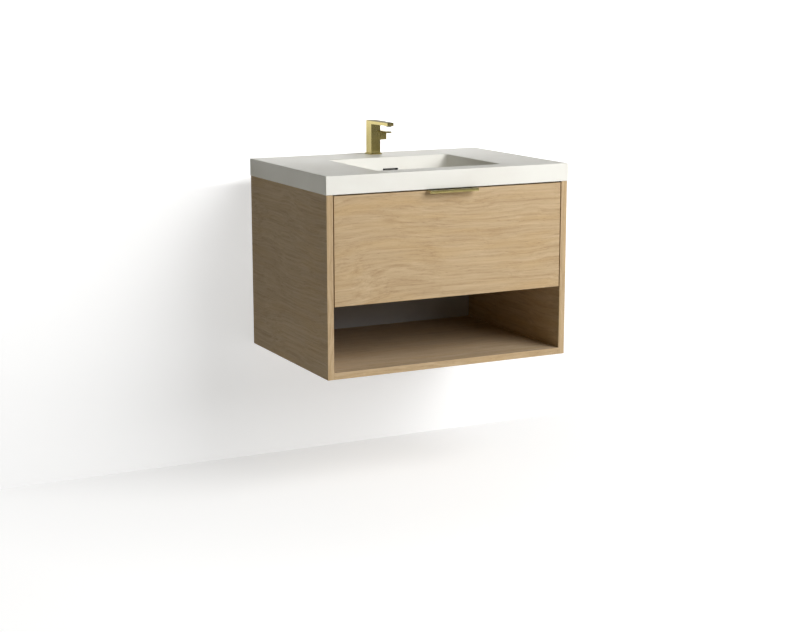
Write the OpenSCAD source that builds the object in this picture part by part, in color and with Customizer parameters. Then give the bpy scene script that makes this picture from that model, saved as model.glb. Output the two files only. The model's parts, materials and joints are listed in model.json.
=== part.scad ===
// Wall-hung vanity: oak carcass with one inset drawer over an open shelf, a cast top with
// a moulded basin, a single-lever tap, a click waste and a bottle trap.
// X runs to the right, Y towards the wall and Z up. The origin is on the back face, in the
// middle of the four wall fixings.

/* [Carcass] */
// Width over the side panels
carcass_w = 758; // [640:1:1000]
// Depth from the front edges to the wall
carcass_d = 544; // [500:1:600]
// Height of the side panels
carcass_h = 508; // [490:1:600]
// Thickness of the carcass boards
panel_t = 19; // [16:0.5:22]
// Clear height of the open shelf
bay_h = 183; // [150:1:195]
// Thickness of the board behind the shelf
back_board_t = 5; // [3:0.5:8]
// Height of the upper hanging rail
rail_high_h = 100; // [70:1:110]
// Height of the lower hanging rail
rail_low_h = 60; // [50:1:70]
// Distance of the divider above the lower edge of the drawer front
divider_rise = 3; // [1:0.5:6]

/* [Wall fixings] */
// Distance between the fixing holes across the wall
fixing_span = 406; // [300:1:500]
// Radius of the fixing holes
fixing_r = 3.5; // [3:0.1:5]

/* [Top] */
// Height of the top's edge
top_t = 51; // [45:1:60]
// Overhang of the top past the carcass at the sides and front
top_over = 2; // [0:0.5:6]
// Thickness of the top between its edges
slab_t = 15; // [12:0.5:20]
// Width of the deep edge at the sides and front
rim_w = 40; // [36:1:50]
// Width of the deep edge at the wall
rim_back_w = 20; // [16:1:22]

/* [Basin] */
// Width of the bowl at its rim
bowl_w = 393; // [320:1:480]
// Distance from the top's front edge to the bowl
bowl_margin = 67; // [60:1:110]
// Distance from the bowl to the centre of the tap
bowl_to_tap = 103; // [95:1:130]
// Depth of the bowl
bowl_depth = 103; // [92:1:112]
// How far each side wall leans in
side_lean = 46; // [30:1:60]
// How far the front and back walls lean in
end_lean = 38; // [25:1:45]
// Corner radius at the rim
rim_r = 12; // [8:1:20]
// Corner radius at the floor
floor_r = 40; // [30:1:50]
// Size of the blend between the walls and the floor
floor_blend = 22; // [12:1:28]
// Wall thickness of the bowl
bowl_wall = 12; // [9:0.5:14]
// Distance from the back of the rim to the centre of the drain
drain_back = 104; // [98:1:120]
// Width of the overflow slot
slot_w = 48; // [36:1:60]
// Height of the overflow slot
slot_h = 9; // [8:0.5:12]
// Distance of the overflow slot below the rim
slot_drop = 37; // [30:1:45]
// Clear depth of the overflow channel
duct_gap = 8; // [6:0.5:10]
// Wall thickness of the overflow channel
duct_wall = 5; // [3:0.5:7]

/* [Drawer] */
// Thickness of the drawer front
front_t = 19; // [16:0.5:22]
// Gap between the drawer front and the side panels
front_gap = 3; // [2:0.5:5]
// Gap between the drawer front and the top
front_top_gap = 4; // [4:0.5:9]
// Thickness of the drawer box boards
box_t = 15; // [12:0.5:18]
// Thickness of the drawer bottom
box_bottom_t = 8; // [6:0.5:10]
// Depth of the groove that holds the drawer bottom
groove = 6; // [4:0.5:8]
// Height of the drawer bottom above the lower edges
groove_up = 10; // [8:1:16]
// Room below the drawer box
box_under = 12; // [8:1:18]
// Room between the drawer box and the bowl
box_over = 22; // [15:1:30]
// Clear width of the cut-out round the trap
cut_w = 200; // [150:1:240]
// Room in front of the drain in the cut-out
cut_ahead = 70; // [55:1:90]
// Length of the edge pull
pull_w = 153; // [100:1:250]
// How far the edge pull stands out
pull_out = 22; // [16:0.5:30]
// Sheet thickness of the edge pull
pull_t = 2; // [1.5:0.1:2.5]
// Height of the pull's front lip
pull_lip = 8; // [6:0.5:12]
// Height of the pull's fixing flange
pull_leg = 18; // [14:1:24]

/* [Runners] */
// Thickness of a closed runner
runner_t = 12.7; // [12.5:0.1:14]
// Height of the cabinet member
runner_h = 45; // [44:0.5:48]
// Sheet thickness of the members
runner_sheet = 1.2; // [1:0.1:1.4]
// Height of the runner's centre above the drawer box's lower edge
runner_up = 60; // [50:1:80]
// Travel of the drawer
travel = 400; // [300:1:400]
// Diameter of the bearing balls
ball_d = 3.1; // [2.9:0.1:3.3]
// Number of balls in a row
ball_count = 5; // [3:1:6]
// Distance between the balls
ball_pitch = 28; // [20:1:30]

/* [Tap] */
// Distance from the wall to the centre of the tap
tap_back = 50; // [46:1:60]
// Width of the tap column
tap_w = 31; // [30:0.5:36]
// Depth of the tap column
tap_d = 36; // [34:0.5:42]
// Height of the tap above the top
tap_h = 102; // [96:1:130]
// Thickness of the base plate
foot_t = 4; // [3:0.5:6]
// Margin of the base plate round the column
foot_edge = 3; // [2:0.5:5]
// Reach of the spout in front of the column
spout_reach = 100; // [80:1:120]
// Thickness of the spout
spout_t = 10; // [9.5:0.5:14]
// Width of the spout at its tip
spout_tip_w = 21; // [20:0.5:28]
// Height of the handle's axis above the top
lever_axis_h = 54; // [46:1:62]
// Depth and height of the handle block
handle_s = 22; // [18:0.5:26]
// How far the handle block stands out to the side
handle_len = 21; // [16:0.5:30]
// Gap between the handle block and the column
handle_gap = 3; // [2.5:0.1:4]
// Length of the lever plate, from the back of the block forwards
lever_len = 57; // [40:1:80]
// Width of the lever plate
lever_w = 20; // [14:0.5:20]
// Thickness of the lever plate
lever_t = 5; // [3:0.5:6]
// Radius of the ceramic cartridge
cartridge_r = 12.5; // [11:0.1:13]
// Radius of the threaded shank
shank_r = 13.2; // [12.4:0.1:14]
// Radius of the tap hole in the top
tap_hole_r = 17.5; // [15:0.5:18]
// Radius of the supply tails
tail_r = 5; // [4:0.1:5]
// Distance of each tail's end from the middle
tail_spread = 45; // [40:1:60]
// Length of a tail below the top's surface
tail_drop = 180; // [150:1:190]

/* [Waste and trap] */
// Radius of the waste thread
waste_r = 20.9; // [19:0.1:22]
// Length of the waste below the bowl floor
waste_len = 68; // [62:1:80]
// Radius of the waste flange
waste_flange_r = 33; // [31:0.5:36]
// Travel of the waste plug
plug_travel = 8; // [5:0.5:10]
// Radius of the trap pipes
pipe_r = 16; // [15:0.1:17]
// Wall thickness of the trap pipes
pipe_wall = 1.5; // [1:0.1:2]
// Radius of the trap body
trap_r = 31; // [29:0.5:36]
// Depth of the trap cup below its joint
cup_h = 56; // [45:1:60]
// Distance from the end of the waste to the axis of the outlet
trap_drop = 42; // [42:1:48]
// Length of the outlet that enters the wall
outlet_end = 28; // [20:1:40]

/* [Hidden] */
$fn = 64;

OAK = [0.80, 0.68, 0.52];
PLY = [0.86, 0.78, 0.64];
GREY_BOARD = [0.42, 0.42, 0.42];
WHITE_CAST = [0.93, 0.93, 0.92];
GOLD = [0.78, 0.68, 0.36];
ZINC = [0.70, 0.71, 0.73];
DARK = [0.10, 0.10, 0.11];
WHITE_PLASTIC = [0.88, 0.88, 0.88];
BEECH = [0.85, 0.70, 0.50];
SEAL_BLACK = [0.16, 0.16, 0.16];
COPPER = [0.80, 0.50, 0.35];

fit = 0.05; // radial clearance of a turned fit
loose = 0.1; // clearance round a screw or a captured board
air = 0.3; // least gap between parts that move past each other
through = 1; // how far a cut runs past a face

// Levels, counted from the middle of the wall fixings
divider_up = panel_t + bay_h + divider_rise;
low_fixing_up = divider_up + panel_t + rail_low_h / 2;
high_fixing_up = carcass_h - rail_high_h / 2;
bottom_z = -(low_fixing_up + high_fixing_up) / 2;
shelf_z = bottom_z + panel_t;
front_low_z = shelf_z + bay_h;
divider_z = bottom_z + divider_up;
divider_top_z = divider_z + panel_t;
carcass_top_z = bottom_z + carcass_h;
surface_z = carcass_top_z + top_t;

// Places across and along the carcass
front_y = -carcass_d;
inner_x = carcass_w / 2 - panel_t;
half_top = carcass_w / 2 + top_over;
top_front_y = front_y - top_over;
front_back_y = front_y + front_t;
stop_gap = 2; // room between the drawer front and the boards behind it
board_front_y = front_back_y + stop_gap;

// Tap, bowl and drain places
tap_y = -tap_back;
bowl_back_y = tap_y - bowl_to_tap;
bowl_front_y = top_front_y + bowl_margin;
bowl_d = bowl_back_y - bowl_front_y;
bowl_mid_y = (bowl_back_y + bowl_front_y) / 2;
bowl_floor_z = surface_z - bowl_depth;
drain_y = bowl_back_y - drain_back;
boss_z = bowl_floor_z - bowl_wall - duct_gap - duct_wall;

// Stretcher behind the drawer front, clear of the pull and of the bowl
stretcher_gap = 1; // room in front of the stretcher for the pull's leg
stretcher_y = board_front_y + pull_t + stretcher_gap;
stretcher_clear = 7;
stretcher_d = bowl_front_y - bowl_wall - stretcher_clear - stretcher_y;

// Joinery
dowel_r = 4;
dowel_in_side = 12;
dowel_in_board = 20;
dowel_end = 40; // distance of the outer dowels from the ends of a board
high_dowel_z = rail_high_h * 0.3;
low_dowel_z = rail_low_h * 0.25;
dowel_places = concat(
    [for (y = [front_y + dowel_end, front_y / 2, -dowel_end]) [y, bottom_z + panel_t / 2]],
    [for (y = [board_front_y + dowel_end, front_y / 2, -dowel_end]) [y, divider_z + panel_t / 2]],
    [for (s = [-1, 1]) [-panel_t / 2, bottom_z + high_fixing_up + s * high_dowel_z]],
    [for (s = [-1, 1]) [-panel_t / 2, bottom_z + low_fixing_up + s * low_dowel_z]],
    [[stretcher_y + stretcher_d / 2, carcass_top_z - panel_t / 2]]);

// Screws
screw_r = 1.9;
screw_head_r = 3.5;
screw_head_h = 1.5;
screw_len = 14;
front_screw_in = 12; // how far a front screw enters the drawer front

// Angle brackets that hold the top
bracket_leg = 30;
bracket_w = 40;
bracket_t = 2;
bracket_front_in = 130; // distance of the front brackets from the carcass front
bracket_back_in = 110; // distance of the back brackets from the wall
bracket_places = [front_y + bracket_front_in, -bracket_back_in];
bracket_screw_x = (inner_x + half_top - rim_w) / 2;

// Drawer box
tail_room = 75; // depth behind the drawer for the supply tails
runner_step = 50; // the runners' lengths go up in this step
runner_len = floor((carcass_d - front_t - tail_room) / runner_step) * runner_step;
box_x = inner_x - runner_t;
box_y = front_back_y;
box_back_y = box_y + runner_len;
box_z = divider_top_z + box_under;
box_top_z = bowl_floor_z - bowl_wall - box_over;
cut_y = drain_y - cut_ahead;
front_top_z = carcass_top_z - front_top_gap;
front_screw_x = box_x * 0.6;
front_screw_up = 40; // distance of the front screws from the box's edges

// Runner section, counted from the side panel towards the drawer
runner_y = board_front_y;
runner_z = box_z + runner_up;
outer_lip = 9;
middle_u = 3.2;
middle_lip = 10.5;
inner_lip = 5.5;
ball_room = ball_d + 2 * loose;
middle_h = runner_h - 2 * runner_sheet - 2 * ball_room;
inner_h = middle_h - 2 * runner_sheet - 2 * ball_room;
cage_t = 0.8;
cage_w = 5;
outer_cage_u = 6;
inner_cage_u = 8;
cage_len = ball_count * ball_pitch;
// The cages stay between both members over the whole travel
cage_y = runner_y + travel / 4 + (runner_len - travel / 2 - cage_len) / 2;
runner_screw_end = 37;
runner_screw_places = [runner_y + runner_screw_end, runner_y + runner_len / 2,
    runner_y + runner_len - runner_screw_end];

// Edge pull screws
pull_screw_r = 1.5;
pull_screw_head_r = 3;
pull_screw_len = 12;
pull_screw_z = front_top_z - pull_leg * 0.6;
pull_screw_step = pull_w * 0.4;

// Bumper discs on the divider's front edge
bumper_r = 4;
bumper_in = 40; // distance of the bumpers from the side panels
bumper_x = inner_x - bumper_in;

// Overflow insert
insert_edge = 2;
insert_face = 1;

// Waste
flange_t = 2.5;
seal_t = 1.5;
flange_room = 0.5;
waste_wall = 2.4;
waste_bore_r = waste_r - waste_wall;
drain_room = 1.5;
drain_hole_r = waste_r + drain_room;
boss_edge = 4;
boss_r = waste_flange_r + boss_edge;
gasket_t = 3;
waste_nut_h = 8;
hub_r = 8;
hub_h = 4;
hub_drop = 34;
bar_w = 5;
plug_stem_r = 4;
plug_edge = 4; // flange left bare round the plug's cap
plug_cap_r = waste_flange_r - plug_edge;
plug_cap_t = 4;
plug_rise = 0.4;
plug_skirt_h = 8;
plug_room = 1; // water gap round the plug's skirt
plug_skirt_r = waste_bore_r - plug_room;
plug_stem_spare = 4; // stem left below its guide when the plug is up
plug_stem_end = hub_drop + plug_travel + plug_stem_spare;

// Trap
waste_end_z = bowl_floor_z - waste_len;
arm_z = waste_end_z - trap_drop;
inlet_lip_t = 2;
inlet_nut_up = 14;
inlet_nut_down = 10;
trap_nut_wall = 5;
dip = 36;
trap_wall = 3;
head_up = 24;
head_down = 20;
head_roof = 4;
collar_h = 6;
collar_wall = 5;
neck_h = 10;
neck_wall = 3;
spigot_wall = 4;
spigot_len = 22;
outlet_nut_back = 14;
outlet_nut_lip = 6;
arm_in = 12;
bead = 1.5;
bead_t = 2;
flange_plate_r = pipe_r * 2;
flange_plate_t = 6;

// Tap
column_front_y = tap_y - tap_d / 2;
column_side_x = tap_w / 2;
axis_z = surface_z + lever_axis_h;
pivot_in = 6; // depth of the stem's ball inside the column's right face
pivot_x = column_side_x - pivot_in;
ball_seat_r = 4.6;
stem_ball_r = 4.5;
stem_r = 3;
stem_grip = 12;
carrier_r = 8;
carrier_len = 16;
cartridge_len = 20;
socket_h = 12;
shank_wall = 1.6;
shank_below = 40;
tap_washer_r = 24;
tap_washer_t = 3;
tap_nut_r = 21;
tap_nut_h = 10;
aerator_r = 8.5;
aerator_in = 5;
aerator_out = 3;
aerator_edge = 3; // room between the aerator and the spout's tip
water_r = 3.5;
lever_in = 1; // how far the lever plate starts out from the block's inner face
tail_gap = 0.8; // half the gap between the two tails inside the shank
tail_x = tail_r + tail_gap;
elbow = 0.6; // how far an elbow stands out past the tail
tail_slope = 45;
tail_plumb = 8; // straight length below the shank before the tails spread
tail_bend_z = surface_z - slab_t - shank_below - tail_plumb;
tail_plain_z = tail_bend_z - (tail_spread - tail_x) / tan(tail_slope);
tail_end_z = surface_z - tail_drop;

// ---- helpers ----

// A box between two opposite corners
module span(a, b) {
    translate(a) cube(b - a);
}

// The left side's piece, or its mirror image on the right
module on_side(side) {
    if (side < 0) children();
    else mirror([1, 0, 0]) children();
}

// A section drawn as X and Z, run along Y
module along_y(y, length) {
    translate([0, y + length, 0]) rotate([90, 0, 0]) linear_extrude(length) children();
}

// A section drawn as Y and Z, run along X and centred
module along_x(length) {
    rotate([90, 0, 90]) linear_extrude(length, center = true) children();
}

module tube(r_out, r_in, z, h) {
    translate([0, 0, z]) difference() {
        cylinder(r = r_out, h = h);
        translate([0, 0, -through]) cylinder(r = r_in, h = h + 2 * through);
    }
}

// A screw along Z: the head stands above zero and the shank goes down
module screw(shank_r, length, head_r, head_h) {
    cylinder(r = head_r, h = head_h);
    translate([0, 0, -length]) cylinder(r = shank_r, h = length + head_h / 2);
}

// The hole that a screw's shank needs, open past the surface
module screw_hole(shank_r, length) {
    translate([0, 0, -length - loose]) cylinder(r = shank_r + loose, h = length + loose + through);
}

module wood_screw() {
    screw(screw_r, screw_len, screw_head_r, screw_head_h);
}

// ---- places shared by a piece and the holes cut for it ----

module at_dowels(side) {
    for (p = dowel_places)
        translate([side * (inner_x - dowel_in_board), p[0], p[1]]) rotate([0, side * 90, 0]) children();
}

module dowel_holes(side) {
    at_dowels(side) translate([0, 0, -loose])
        cylinder(r = dowel_r + fit, h = dowel_in_board + dowel_in_side + 2 * loose);
}

// Screws through the brackets' upright legs into the side panel
module at_bracket_side(side) {
    for (y = bracket_places)
        translate([side * (inner_x - bracket_t), y, carcass_top_z - bracket_leg / 2])
            rotate([0, -side * 90, 0]) children();
}

// Screws through the brackets' flat legs into the top
module at_bracket_top(side) {
    for (y = bracket_places)
        translate([side * bracket_screw_x, y, carcass_top_z - bracket_t]) rotate([180, 0, 0]) children();
}

// Screws through the cabinet member into the side panel
module at_cabinet_runner(side) {
    for (y = runner_screw_places)
        translate([side * (inner_x - runner_sheet), y, runner_z]) rotate([0, -side * 90, 0]) children();
}

// Screws through the drawer member into the drawer side
module at_drawer_runner(side) {
    for (y = runner_screw_places)
        translate([side * (box_x + runner_sheet), y, runner_z]) rotate([0, side * 90, 0]) children();
}

// Screws through the inner front into the drawer front
module at_front_screws() {
    for (x = [-front_screw_x, front_screw_x])
        for (z = [box_z + front_screw_up, box_top_z - front_screw_up])
            translate([x, box_y + box_t, z]) rotate([-90, 0, 0]) children();
}

module at_pull_screws() {
    for (i = [-1:1])
        translate([i * pull_screw_step, front_back_y + pull_t, pull_screw_z]) rotate([-90, 0, 0]) children();
}

// ---- carcass ----

module side_panel(side) {
    color(OAK) difference() {
        span([min(side * inner_x, side * carcass_w / 2), front_y, bottom_z],
            [max(side * inner_x, side * carcass_w / 2), 0, carcass_top_z]);
        dowel_holes(side);
        at_bracket_side(side) screw_hole(screw_r, screw_len);
        at_cabinet_runner(side) screw_hole(screw_r, screw_len);
    }
}

// A board between the side panels
module cross_board(low, high) {
    difference() {
        span([-inner_x, low[0], low[1]], [inner_x, high[0], high[1]]);
        dowel_holes(-1);
        dowel_holes(1);
    }
}

module side_panel_left() {
    side_panel(-1);
}

module side_panel_right() {
    side_panel(1);
}

module bottom_panel() {
    color(OAK) cross_board([front_y, bottom_z], [0, shelf_z]);
}

module divider_panel() {
    color(OAK) cross_board([board_front_y, divider_z], [0, divider_top_z]);
}

module shelf_back_panel() {
    color(GREY_BOARD) span([-inner_x, -back_board_t, shelf_z], [inner_x, 0, divider_z]);
}

module hanging_rail(low_z, high_z) {
    color(PLY) difference() {
        cross_board([-panel_t, low_z], [0, high_z]);
        for (x = [-fixing_span / 2, fixing_span / 2])
            translate([x, through, (low_z + high_z) / 2]) rotate([90, 0, 0])
                cylinder(r = fixing_r, h = panel_t + 2 * through);
    }
}

module hanging_rail_upper() {
    hanging_rail(carcass_top_z - rail_high_h, carcass_top_z);
}

module hanging_rail_lower() {
    hanging_rail(divider_top_z, divider_top_z + rail_low_h);
}

module front_stretcher() {
    color(PLY) cross_board([stretcher_y, carcass_top_z - panel_t],
        [stretcher_y + stretcher_d, carcass_top_z]);
}

module carcass_dowels() {
    color(BEECH) for (side = [-1, 1])
        at_dowels(side) cylinder(r = dowel_r, h = dowel_in_board + dowel_in_side);
}

module top_brackets() {
    section = [[0, 0], [bracket_leg, 0], [bracket_leg, -bracket_t], [bracket_t, -bracket_t],
        [bracket_t, -bracket_leg], [0, -bracket_leg]];
    color(ZINC) difference() {
        for (side = [-1, 1])
            on_side(side)
                for (y = bracket_places)
                    translate([-inner_x, 0, carcass_top_z])
                        along_y(y - bracket_w / 2, bracket_w) polygon(section);
        for (side = [-1, 1]) {
            at_bracket_side(side) screw_hole(screw_r, screw_len);
            at_bracket_top(side) screw_hole(screw_r, screw_len);
        }
    }
}

module cabinet_screws() {
    color(ZINC) for (side = [-1, 1]) {
        at_bracket_side(side) wood_screw();
        at_bracket_top(side) wood_screw();
        at_cabinet_runner(side) wood_screw();
    }
}

// Soft discs that stop the drawer front
module drawer_bumpers() {
    color(WHITE_PLASTIC) for (x = [-bumper_x, bumper_x])
        translate([x, board_front_y, divider_z + panel_t / 2]) rotate([90, 0, 0])
            cylinder(r = bumper_r, h = stop_gap - air);
}

// ---- top and basin ----

// How far the bowl's wall and its blend lean in at step t of the blend
function blend_in(lean, t) =
    pow(1 - t, 2) * lean * (bowl_depth - floor_blend) / bowl_depth
    + 2 * t * (1 - t) * lean + t * t * (lean + floor_blend);
function blend_down(t) =
    pow(1 - t, 2) * (bowl_depth - floor_blend) + (1 - pow(1 - t, 2)) * bowl_depth;

// Four thin rounds at the corners of one level of the bowl
module bowl_level(in_x, in_y, down, r, wall, thick) {
    corner_x = bowl_w / 2 - in_x - r;
    corner_y = bowl_d / 2 - in_y - r;
    for (sx = [-1, 1])
        for (sy = [-1, 1])
            translate([sx * corner_x, bowl_mid_y + sy * corner_y, surface_z - down])
                cylinder(r = r + wall, h = thick, $fn = 32);
}

// The space inside the bowl, or with a wall the outside of its shell
module bowl_form(wall) {
    blend_steps = 4;
    skin = 0.01;
    hull() {
        bowl_level(0, 0, wall > 0 ? slab_t / 2 : 0, rim_r, wall, wall > 0 ? skin : through);
        for (i = [0:blend_steps]) {
            t = i / blend_steps;
            bowl_level(blend_in(side_lean, t), blend_in(end_lean, t), blend_down(t) + wall,
                rim_r + (floor_r - rim_r) * blend_down(t) / bowl_depth, wall, skin);
        }
    }
}

// The bowl's inner back wall at a given depth
function back_wall_y(down) = bowl_back_y - end_lean * down / bowl_depth;

// The overflow channel down the back of the bowl and forward to the drain, as Y and Z
module duct_section(inset, grow) {
    head_down_by = slot_drop - slot_h / 2 - grow;
    turn_y = back_wall_y(bowl_depth) + bowl_wall;
    floor_z = bowl_floor_z - bowl_wall;
    polygon([
        [back_wall_y(head_down_by) + bowl_wall - inset, surface_z - head_down_by],
        [turn_y - inset, floor_z + inset],
        [drain_y, floor_z + inset],
        [drain_y, floor_z - duct_gap - grow],
        [turn_y + duct_gap + grow, floor_z - duct_gap - grow],
        [back_wall_y(head_down_by) + bowl_wall + duct_gap + grow, surface_z - head_down_by]]);
}

module vanity_top() {
    color(WHITE_CAST) difference() {
        union() {
            difference() {
                span([-half_top, top_front_y, carcass_top_z], [half_top, 0, surface_z]);
                span([-half_top + rim_w, top_front_y + rim_w, carcass_top_z - through],
                    [half_top - rim_w, -rim_back_w, surface_z - slab_t]);
            }
            bowl_form(bowl_wall);
            along_x(slot_w + 2 * duct_wall) duct_section(bowl_wall / 2, duct_wall);
            translate([0, drain_y, boss_z])
                cylinder(r = boss_r, h = bowl_floor_z - bowl_wall / 2 - boss_z);
        }
        bowl_form(0);
        along_x(slot_w - 2 * insert_edge) duct_section(0, 0);
        span([-slot_w / 2, back_wall_y(slot_drop) - bowl_wall, surface_z - slot_drop - slot_h / 2],
            [slot_w / 2, back_wall_y(slot_drop) + bowl_wall + duct_gap / 2,
                surface_z - slot_drop + slot_h / 2]);
        translate([0, drain_y, boss_z - through])
            cylinder(r = drain_hole_r, h = bowl_floor_z - boss_z + 2 * through);
        translate([0, drain_y, bowl_floor_z - flange_t - seal_t])
            cylinder(r = waste_flange_r + flange_room, h = flange_t + seal_t + through);
        translate([0, tap_y, surface_z - slab_t - through])
            cylinder(r = tap_hole_r, h = slab_t + 2 * through);
        for (side = [-1, 1])
            at_bracket_top(side) screw_hole(screw_r, screw_len);
    }
}

// Slotted black insert in the overflow opening
module overflow_insert() {
    face_y = back_wall_y(slot_drop - slot_h / 2);
    low_z = surface_z - slot_drop - slot_h / 2;
    high_z = surface_z - slot_drop + slot_h / 2;
    color(DARK) difference() {
        span([-slot_w / 2 + loose, back_wall_y(slot_drop + slot_h / 2) - insert_face, low_z + loose],
            [slot_w / 2 - loose, face_y + bowl_wall, high_z - loose]);
        span([-slot_w / 2 + insert_edge, face_y - bowl_wall, low_z + insert_edge],
            [slot_w / 2 - insert_edge, face_y + bowl_wall + through, high_z - insert_edge]);
    }
}

// ---- waste ----

module at_drain() {
    translate([0, drain_y, bowl_floor_z]) children();
}

// Flanged tube with overflow windows, and a bar across it that guides the plug's stem
module waste_body() {
    window_w = waste_r;
    color(GOLD) at_drain() difference() {
        union() {
            tube(waste_flange_r, waste_bore_r, -flange_t, flange_t);
            tube(waste_r, waste_bore_r, -waste_len, waste_len - flange_t / 2);
            span([-waste_bore_r - through, -bar_w / 2, -hub_drop],
                [waste_bore_r + through, bar_w / 2, -hub_drop + hub_h]);
            translate([0, 0, -hub_drop]) cylinder(r = hub_r, h = hub_h);
        }
        translate([0, 0, -hub_drop - through]) cylinder(r = plug_stem_r + fit, h = hub_h + 2 * through);
        span([-window_w / 2, -waste_r - through, -bowl_wall - duct_gap],
            [window_w / 2, waste_r + through, -bowl_wall]);
    }
}

module waste_seal() {
    color(WHITE_PLASTIC) at_drain()
        tube(waste_flange_r - 1, waste_r + loose, -flange_t - seal_t, seal_t);
}

module waste_gasket() {
    color(SEAL_BLACK) translate([0, drain_y, boss_z]) tube(boss_r - 2, waste_r + loose, -gasket_t, gasket_t);
}

module waste_nut() {
    color(ZINC) translate([0, drain_y, boss_z - gasket_t - waste_nut_h]) difference() {
        cylinder(r = boss_r - 2, h = waste_nut_h, $fn = 8);
        translate([0, 0, -through]) cylinder(r = waste_r + fit, h = waste_nut_h + 2 * through);
    }
}

// Domed plug on a stem that slides in the waste's guide
module waste_plug() {
    color(GOLD) at_drain() rotate_extrude() polygon([
        [0, -plug_stem_end], [plug_stem_r, -plug_stem_end], [plug_stem_r, -plug_skirt_h],
        [plug_skirt_r, -plug_skirt_h], [plug_skirt_r, plug_rise], [plug_cap_r, plug_rise],
        [plug_cap_r, plug_rise + plug_cap_t / 2], [plug_cap_r * 0.9, plug_rise + plug_cap_t * 0.8],
        [plug_cap_r * 0.5, plug_rise + plug_cap_t], [0, plug_rise + plug_cap_t * 1.1]]);
}

// ---- trap ----

module trap_inlet_pipe() {
    color(WHITE_PLASTIC) translate([0, drain_y, 0]) {
        difference() {
            union() {
                translate([0, 0, waste_end_z - inlet_lip_t]) cylinder(r = waste_r - 2, h = inlet_lip_t);
                translate([0, 0, arm_z - dip])
                    cylinder(r = pipe_r, h = waste_end_z - inlet_lip_t / 2 - arm_z + dip);
            }
            translate([0, 0, arm_z - dip - through])
                cylinder(r = pipe_r - pipe_wall, h = waste_end_z - arm_z + dip + 2 * through);
        }
    }
}

module trap_inlet_nut() {
    low = waste_end_z - inlet_nut_down;
    color(WHITE_PLASTIC) translate([0, drain_y, 0]) difference() {
        translate([0, 0, low])
            cylinder(r = waste_r + trap_nut_wall, h = inlet_nut_down + inlet_nut_up, $fn = 12);
        translate([0, 0, low - through]) cylinder(r = pipe_r + fit, h = inlet_nut_down + through);
        translate([0, 0, waste_end_z - inlet_lip_t])
            cylinder(r = waste_r + fit, h = inlet_lip_t + inlet_nut_up + through);
    }
}

// A round piece along Y that starts at a distance behind the drain
module outlet_round(r, from, to) {
    translate([0, drain_y + from, arm_z]) rotate([-90, 0, 0]) cylinder(r = r, h = to - from);
}

module trap_head() {
    color(WHITE_PLASTIC) difference() {
        union() {
            translate([0, drain_y, arm_z - head_down]) cylinder(r = trap_r, h = head_down + head_up);
            translate([0, drain_y, arm_z + head_up])
                cylinder(r = pipe_r + collar_wall, h = collar_h);
            translate([0, drain_y, arm_z - head_down - neck_h])
                cylinder(r = trap_r - trap_wall - loose, h = neck_h + head_down);
            outlet_round(pipe_r + spigot_wall, 0, trap_r + spigot_len);
        }
        translate([0, drain_y, arm_z - head_down - neck_h - through])
            cylinder(r = trap_r - trap_wall - neck_wall,
                h = neck_h + head_down + head_up - head_roof + through);
        translate([0, drain_y, arm_z]) cylinder(r = pipe_r + fit, h = head_up + collar_h + through);
        outlet_round(pipe_r + fit, 0, trap_r + spigot_len + through);
    }
}

module trap_cup() {
    low = arm_z - head_down - cup_h;
    color(WHITE_PLASTIC) translate([0, drain_y, low]) difference() {
        cylinder(r = trap_r, h = cup_h);
        translate([0, 0, trap_wall]) cylinder(r = trap_r - trap_wall, h = cup_h);
    }
}

module trap_outlet_nut() {
    back = trap_r + spigot_len;
    color(WHITE_PLASTIC) difference() {
        translate([0, drain_y + back - outlet_nut_back, arm_z]) rotate([-90, 0, 0])
            cylinder(r = pipe_r + spigot_wall + trap_nut_wall, h = outlet_nut_back + outlet_nut_lip, $fn = 12);
        outlet_round(pipe_r + spigot_wall + fit, back - outlet_nut_back - through, back);
        outlet_round(pipe_r + fit, back - through, back + outlet_nut_lip + through);
    }
}

// Pipe from the trap to the wall, with a stop bead behind the wall flange
module trap_outlet_arm() {
    wall = -drain_y;
    color(WHITE_PLASTIC) difference() {
        union() {
            outlet_round(pipe_r, trap_r + spigot_len - arm_in, wall + bead_t + outlet_end);
            outlet_round(pipe_r + bead, wall, wall + bead_t);
        }
        outlet_round(pipe_r - pipe_wall, 0, wall + bead_t + outlet_end + through);
    }
}

module wall_flange() {
    color(WHITE_PLASTIC) translate([0, 0, arm_z]) rotate([90, 0, 0]) rotate_extrude() polygon([
        [pipe_r + loose, 0], [flange_plate_r, 0], [flange_plate_r, flange_plate_t * 0.3],
        [pipe_r * 1.4, flange_plate_t], [pipe_r + loose, flange_plate_t]]);
}

// ---- tap ----

module at_tap() {
    translate([0, tap_y, surface_z]) children();
}

module tap_base_plate() {
    half_w = tap_w / 2 + foot_edge;
    half_d = tap_d / 2 + foot_edge;
    color(GOLD) at_tap() difference() {
        span([-half_w, -half_d, 0], [half_w, half_d, foot_t]);
        translate([0, 0, -through]) cylinder(r = shank_r + fit, h = foot_t + 2 * through);
    }
}

// Puts a shape at the cartridge's mouth, in the right face of the column, with +Z into the column
module at_cartridge() {
    translate([column_side_x, tap_y, axis_z]) rotate([0, -90, 0]) children();
}

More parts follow.
